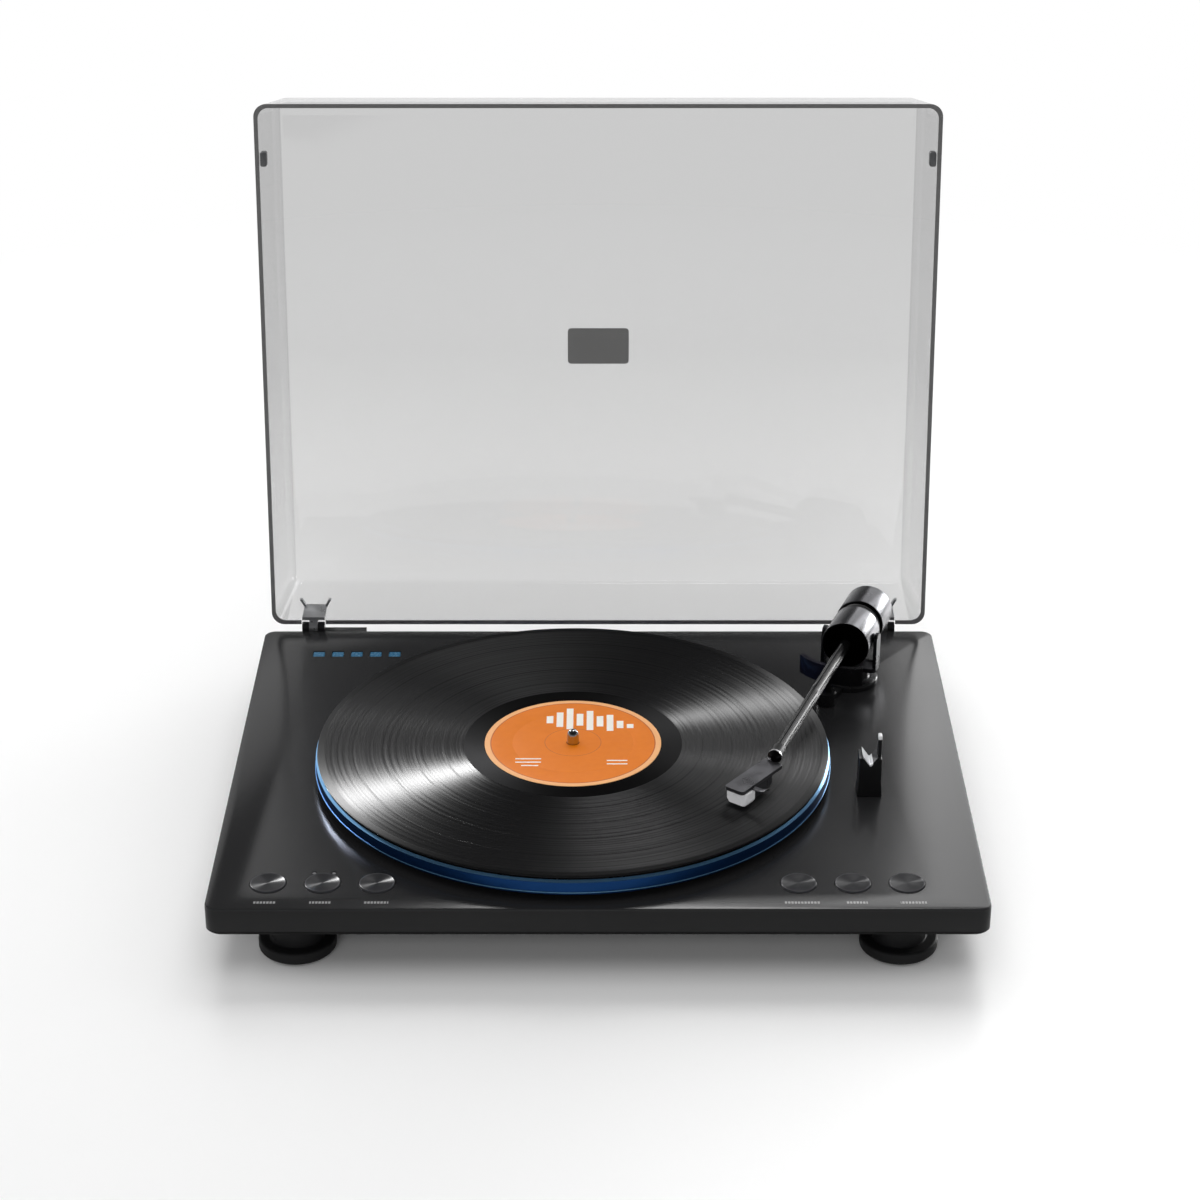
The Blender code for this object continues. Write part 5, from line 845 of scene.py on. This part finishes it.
# Arm stub: a turned steel rod behind the drum, with the fine thread that the counterweight's bushing
# runs on.
chrome = Finish("dark_chrome", grey(112, 4), 0.12, Metallic=1.0)
chrome.relief(0.00001, 0.3, 1, 2, (300, 5000, 300)).drift(0.09, 0.18, 90)
ROD, ROD_START, ROD_END, PITCH = 0.004, DRUM_HALF + GAP, DRUM_HALF + 0.033, 0.0008
rod = [(0, ROD_START), (ROD, ROD_START)]
for turn in range(37):
    rod += [(ROD, 0.0165 + turn * PITCH), (ROD - 0.0003, 0.0165 + (turn + 0.5) * PITCH)]
rod += [(ROD, ROD_END - 0.0007), (ROD - 0.0005, ROD_END), (0, ROD_END)]
stub = piece("arm_stub_threaded", lathe(rod, 64), AXLE, ALONG)
fit(stub, "tonearm", chrome, "arm_stub", sharp=30)

# Counterweight: a heavy turned cylinder in dark chrome with a black ring round its front edge, pushed on
# a rubber bushing whose flange faces the drum.
bushing_rubber = Finish("bushing_rubber", grey(22), 0.55).relief(0.00005, 0.5, 900, 3).drift(0.48, 0.62, 60)
START = DRUM_HALF + 0.0045
END = START + 0.025
FLANGE_RADIUS, BUSH_OUT, BUSH_IN, BUSH_END = 0.0136, 0.0075, 0.0043, START + 0.02
SEAT_AT = START - GAP
flange = [(BUSH_IN, SEAT_AT - 0.002), (FLANGE_RADIUS - 0.0004, SEAT_AT - 0.002),
          (FLANGE_RADIUS, SEAT_AT - 0.0016), (FLANGE_RADIUS, SEAT_AT), (BUSH_OUT, SEAT_AT),
          (BUSH_OUT, BUSH_END), (BUSH_IN, BUSH_END)]
bushing = piece("weight_bushing_moulded", lathe(flange, 96), AXLE, ALONG)
fit(bushing, "weight_carrier", bushing_rubber, "weight_bushing", sharp=40)
weight_chrome = Finish("weight_chrome", grey(92, 3), 0.24, Metallic=1.0)
back_of = behind_axle(weight_chrome)
front_ring = back_of < START + 0.0012
weight_chrome.paint(front_ring, grey(92, 3), grey(12))
weight_chrome.vary("Roughness", 0.24 + front_ring * 0.3 + weight_chrome.noise(160, 2) * 0.05)
weight_chrome.bump(back_of.wave(0.0005), 0.00001, 0.25)
WEIGHT_RADIUS, WEIGHT_ROUND, WEIGHT_BORE, SUNK = 0.0152, 0.0014, BUSH_OUT + GAP, END - 0.0006
turned_weight = [(WEIGHT_BORE, START)] + lower_round(WEIGHT_RADIUS, START, WEIGHT_ROUND, 8)
turned_weight += upper_round(WEIGHT_RADIUS, END, WEIGHT_ROUND, 8)
turned_weight += [(0.0128, END), (0.0124, SUNK), (0.0092, SUNK), (0.0088, END), (WEIGHT_BORE, END)]
weight = piece("counterweight_turned", lathe(turned_weight, 160), AXLE, ALONG)
fit(weight, "weight", weight_chrome, "counterweight")

# Arm rest: a moulded black post with a V seat, a taller outer prong whose tip is painted pale, a painted
# glint, and a bright formed strip in the V that the tube lies in, its right part painted dark grey, painted
# shade.
REST = (*centre(*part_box("arm_rest")), DECK + GAP)
HALF, POST_HALF, PRONG_WIDTH, PRONG_TIP = 0.0065, 0.006, 0.0022, 0.0022
NOTCH, LEFT_LIP, RIGHT_LIP, PRONG = ARM - 0.0122, ARM - 0.0058, ARM - 0.0065, ARM + 0.007
INNER, OUTER = HALF - PRONG_WIDTH, 0.0019 - HALF
post = [(HALF + 0.0007, 0), (HALF, NOTCH / 2), (HALF, RIGHT_LIP), (INNER, RIGHT_LIP), (0, NOTCH),
        (OUTER, LEFT_LIP), (-HALF, LEFT_LIP), (-HALF, NOTCH / 2), (-HALF - 0.0007, 0)]
rest = piece("arm_rest_post", put(prism(post, -POST_HALF, POST_HALF), UPRIGHT), REST)
stem, point = box(PRONG_WIDTH, 0.0045, HALF - PRONG_WIDTH / 2), box(0.0016, 0.0036, HALF - PRONG_WIDTH / 2)
weld(rest, loft(((stem, NOTCH), (stem, PRONG - 0.0006), (point, PRONG))), REST)
rest_black = Finish("rest_black_moulding", grey(20), 0.3, specular=0.4)
rest_black.relief(0.00001, 0.4, 1200).drift(0.26, 0.38, 70)
# Painted glint: the top of the prong is painted pale grey.
tip_painted_glint = rest_black.xyz()[2] > DECK + PRONG - PRONG_TIP
rest_black.paint(tip_painted_glint, grey(20), grey(226, 2))
fit(rest, "plinth", rest_black, "arm_rest", edge=0.0004)
cradle_silver = Finish("cradle_bright_strip", srgb(222, 223, 225), 0.25, Metallic=0.3)
cradle_silver.relief(0.00001, 0.4, 1, 2, (200, 2500, 200)).drift(0.15, 0.28, 90)
off_middle = cradle_silver.xyz()[0] - REST[0]
SHADED_FROM, STRIP_THICK, STRIP_FLAT = 0.0014, 0.001, 0.0004
# Painted shade: right of SHADED_FROM the strip is painted dark grey.
cradle_silver.paint(off_middle > SHADED_FROM, srgb(228, 229, 231), grey(40, 2))
slope = (NOTCH - LEFT_LIP) / OUTER
seat_line = [(OUTER, LEFT_LIP), (-STRIP_FLAT, NOTCH + STRIP_FLAT), (STRIP_FLAT, NOTCH + STRIP_FLAT),
             (INNER - GAP, RIGHT_LIP - slope * GAP)]
strip = [(x, z + 2 * GAP) for x, z in seat_line]
strip += [(x, z + 2 * GAP + STRIP_THICK) for x, z in reversed(seat_line)]
cradle = piece("rest_cradle_strip", put(prism(strip, -POST_HALF, POST_HALF), UPRIGHT), REST)
fit(cradle, "plinth", cradle_silver, "rest_cradle", edge=0.0002)

# Dust cover: a five-sided lid thermoformed in clear acrylic, its walls drawn in towards the top, with
# polished edges. The end face of its rim is painted near-black and nearly opaque, painted shade for how the
# sheet looks dark edge-on; through its face it is faintly grey, more opaque towards the top and at the side
# walls.
AXIS = (0, REAR + 0.0038, 0.0434)
OPEN = math.radians(97.5)
COVER_WIDTH, COVER_LENGTH, COVER_HEIGHT = 0.423, 0.337, 0.0675
COVER_WALL, TAPER, COVER_BEND, COVER_CORNER = 0.0025, 0.0065, 0.004, 0.008
RIM = 0.043 - AXIS[2]
COVER_FRONT = FRONT + 0.0025 - AXIS[1]
COVER_MIDDLE = COVER_FRONT + COVER_LENGTH / 2
REAR_WALL = COVER_FRONT + COVER_LENGTH


def cover_form(inset, overrun):
    """The closed cover as a solid, drawn in by an inset, seen from its hinge axis."""
    bend = COVER_BEND - inset * COVER_BEND / (COVER_BEND + COVER_WALL)
    sections = []
    for pull, height in [(0, -overrun)] + arc(bend, COVER_HEIGHT - inset - bend, bend, 180, 90, 8):
        narrow = inset + pull + TAPER * height / COVER_HEIGHT
        outline = rounded(COVER_WIDTH, COVER_LENGTH, COVER_CORNER - inset / 2, 0, COVER_MIDDLE, 12, narrow)
        sections.append((outline, RIM + height))
    return loft(sections)


cover = piece("dust_cover_sheet", cover_form(0, 0))
carve(cover, cover_form(COVER_WALL, PAST))
HINGE_X, HINGE_NOTCH = RIGHT - 0.0308, 0.0157
for side in (-1, 1):
    carve(cover, prism(box(HINGE_NOTCH, 0.01, side * HINGE_X, REAR_WALL), RIM - PAST, RIM + 0.0048))
SWUNG = Matrix.Translation(AXIS) @ Matrix.Rotation(-OPEN, 4, "X")


def swing(made):
    """Turns a piece drawn on the closed cover to where it stands with the cover open."""
    made.data.transform(SWUNG)
    return made


clear = Finish("cover_clear_acrylic", grey(60), 0.04, IOR=2.4)
x, y, z = clear.xyz()
height = (y - AXIS[1]) * math.sin(OPEN) + (z - AXIS[2]) * math.cos(OPEN)
RIM_EDGE, SIDE_WALLS = 0.0007, COVER_WIDTH / 2 - 0.0095
at_rim = height < RIM + RIM_EDGE
facing = clear.node("LayerWeight", None, {"Blend": 0.3}, 1)
reach_up = clear.ramp(z, 0.05, 0.2, 0.17, 0.29)
clear.vary("Alpha", (reach_up + facing * 0.08 + (x.size() > SIDE_WALLS) * 0.08).most(at_rim * 0.96))
# Painted shade: the end face of the rim is near-black.
clear.paint(at_rim, grey(72), grey(12))
clear.vary("Roughness", 0.03 + at_rim * 0.5)
swing(cover)
fit(cover, "cover", clear, "dust_cover", sharp=30)
spare(cover)

# Cover badge: a thin dark plate glued to the outside of the lid, with a narrow raised border. It is left
# plain here.
badge_dark = Finish("badge_dark_plate", srgb(100, 99, 97), 0.4)
badge_dark.relief(0.00002, 0.5, 1500).tint(srgb(82, 81, 79), srgb(90, 89, 87), 120)
TOP = RIM + COVER_HEIGHT + GAP
BADGE_WIDTH, BADGE_DEPTH, BADGE_CORNER = 0.0398, 0.0237, 0.0024
rounds = ((0, TOP), (0, TOP + 0.0006), (0.0003, TOP + 0.0008), (0.0018, TOP + 0.0008), (0.0021, TOP + 0.0006))
plate = loft([(rounded(BADGE_WIDTH, BADGE_DEPTH, BADGE_CORNER - inset, 0, COVER_MIDDLE, 8, inset), z)
              for inset, z in rounds])
badge = swing(piece("cover_badge_plate", plate))
fit(badge, "cover", badge_dark, "cover_badge", sharp=30)
spare(badge)

# Cover bumpers: two small blocks of grey rubber glued inside the rim of the cover near its front, on
# which the closed cover rests.
bumper_rubber = Finish("bumper_rubber", srgb(96, 97, 99), 0.5)
bumper_rubber.relief(0.00005, 0.5, 900, 3).tint(srgb(68, 69, 71), srgb(80, 81, 83), 90)
BUMPER_WIDTH, BUMPER_LENGTH, BUMPER_TOP, BUMPER_EDGE = 0.004, 0.009, 0.005, 0.0003
BUMPER_LOW, BUMPER_Y = DECK + GAP - AXIS[2], COVER_FRONT + 0.034
BUMPER_X = COVER_WIDTH / 2 - COVER_WALL - GAP - TAPER * BUMPER_TOP / COVER_HEIGHT - BUMPER_WIDTH / 2
for side, name in ((-1, "left"), (1, "right")):
    block = loft([(rounded(BUMPER_WIDTH, BUMPER_LENGTH, 0.0012 - cut, side * BUMPER_X, BUMPER_Y, 6, cut), z)
                  for cut, z in ((BUMPER_EDGE, BUMPER_LOW), (0, BUMPER_LOW + BUMPER_EDGE),
                                 (0, RIM + BUMPER_TOP - BUMPER_EDGE), (BUMPER_EDGE, RIM + BUMPER_TOP))])
    bumper = swing(piece("cover_bumper_block_" + name, block))
    fit(bumper, "cover", bumper_rubber, "cover_bumper_" + name, sharp=50)

# Hinges: grey metal leaves screwed inside the rear wall of the cover, with flared ears, whose knuckles
# turn on steel pins in two black sockets behind the casing.
leaf_grey = Finish("hinge_leaf_grey", srgb(138, 139, 141), 0.34, Metallic=0.6)
leaf_grey.relief(0.00002, 0.5, 1, 3, (900, 150, 900)).drift(0.26, 0.42, 90)
socket_black = Finish("socket_black_moulding", grey(22), 0.4).relief(0.00004, 0.5, 1500).drift(0.34, 0.48, 50)
for side in ("left", "right"):
    refinish("hinge_leaf_" + side, leaf_grey, 0.0002)
    refinish("hinge_pin_" + side, steel)
    refinish("hinge_socket_" + side, socket_black, 0.0003)

# Bearing bush, motor, pulley and belt: under the platter a turned brass bush carries the spindle, and
# a motor in a drawn steel can turns a brass pulley, from which a flat rubber belt runs to the platter.
brass = Finish("bearing_brass", srgb(178, 150, 92), 0.25, Metallic=1.0)
brass.relief(0.00001, 0.3, 1, 2, (200, 200, 5000)).drift(0.2, 0.34, 90)
belt_black = Finish("belt_rubber", grey(24), 0.6).relief(0.00005, 0.5, 700, 3).drift(0.52, 0.68, 60)
can_steel = Finish("motor_can_steel", srgb(140, 141, 144), 0.35, Metallic=1.0)
can_steel.relief(0.00002, 0.4, 1, 2, (250, 250, 2500)).drift(0.3, 0.42, 60)
refinish("bearing_bush", brass)
refinish("motor", can_steel)
refinish("motor_pulley", brass)
refinish("drive_belt", belt_black)

# Boards: one wide board and two small ones under the buttons, of green glass-fibre laminate with a
# faint weave, fixed under the deck.
board_green = Finish("board_green", srgb(34, 92, 58), 0.4)
board_green.relief(0.00002, 0.5, 1, 2, (1800, 1800, 200)).tint(srgb(30, 84, 52), srgb(40, 104, 66), 500, 2)
for name in ("main_board", "button_board_left", "button_board_right"):
    refinish(name, board_green)

# Rear wall: twin phono sockets in one black block, a gilt ground post, a power inlet and a small
# sliding switch.
gilt = Finish("gilt_plating", srgb(214, 176, 96), 0.22, Metallic=1.0)
gilt.relief(0.00002, 0.4, 1, 2, (4000, 300, 4000)).drift(0.16, 0.3, 90)
refinish("ground_post", gilt)
refinish("line_switch_body", socket_black)
for name in ("phono_jacks", "power_inlet", "line_switch_knob"):
    refinish(name, socket_black, 0.0002)
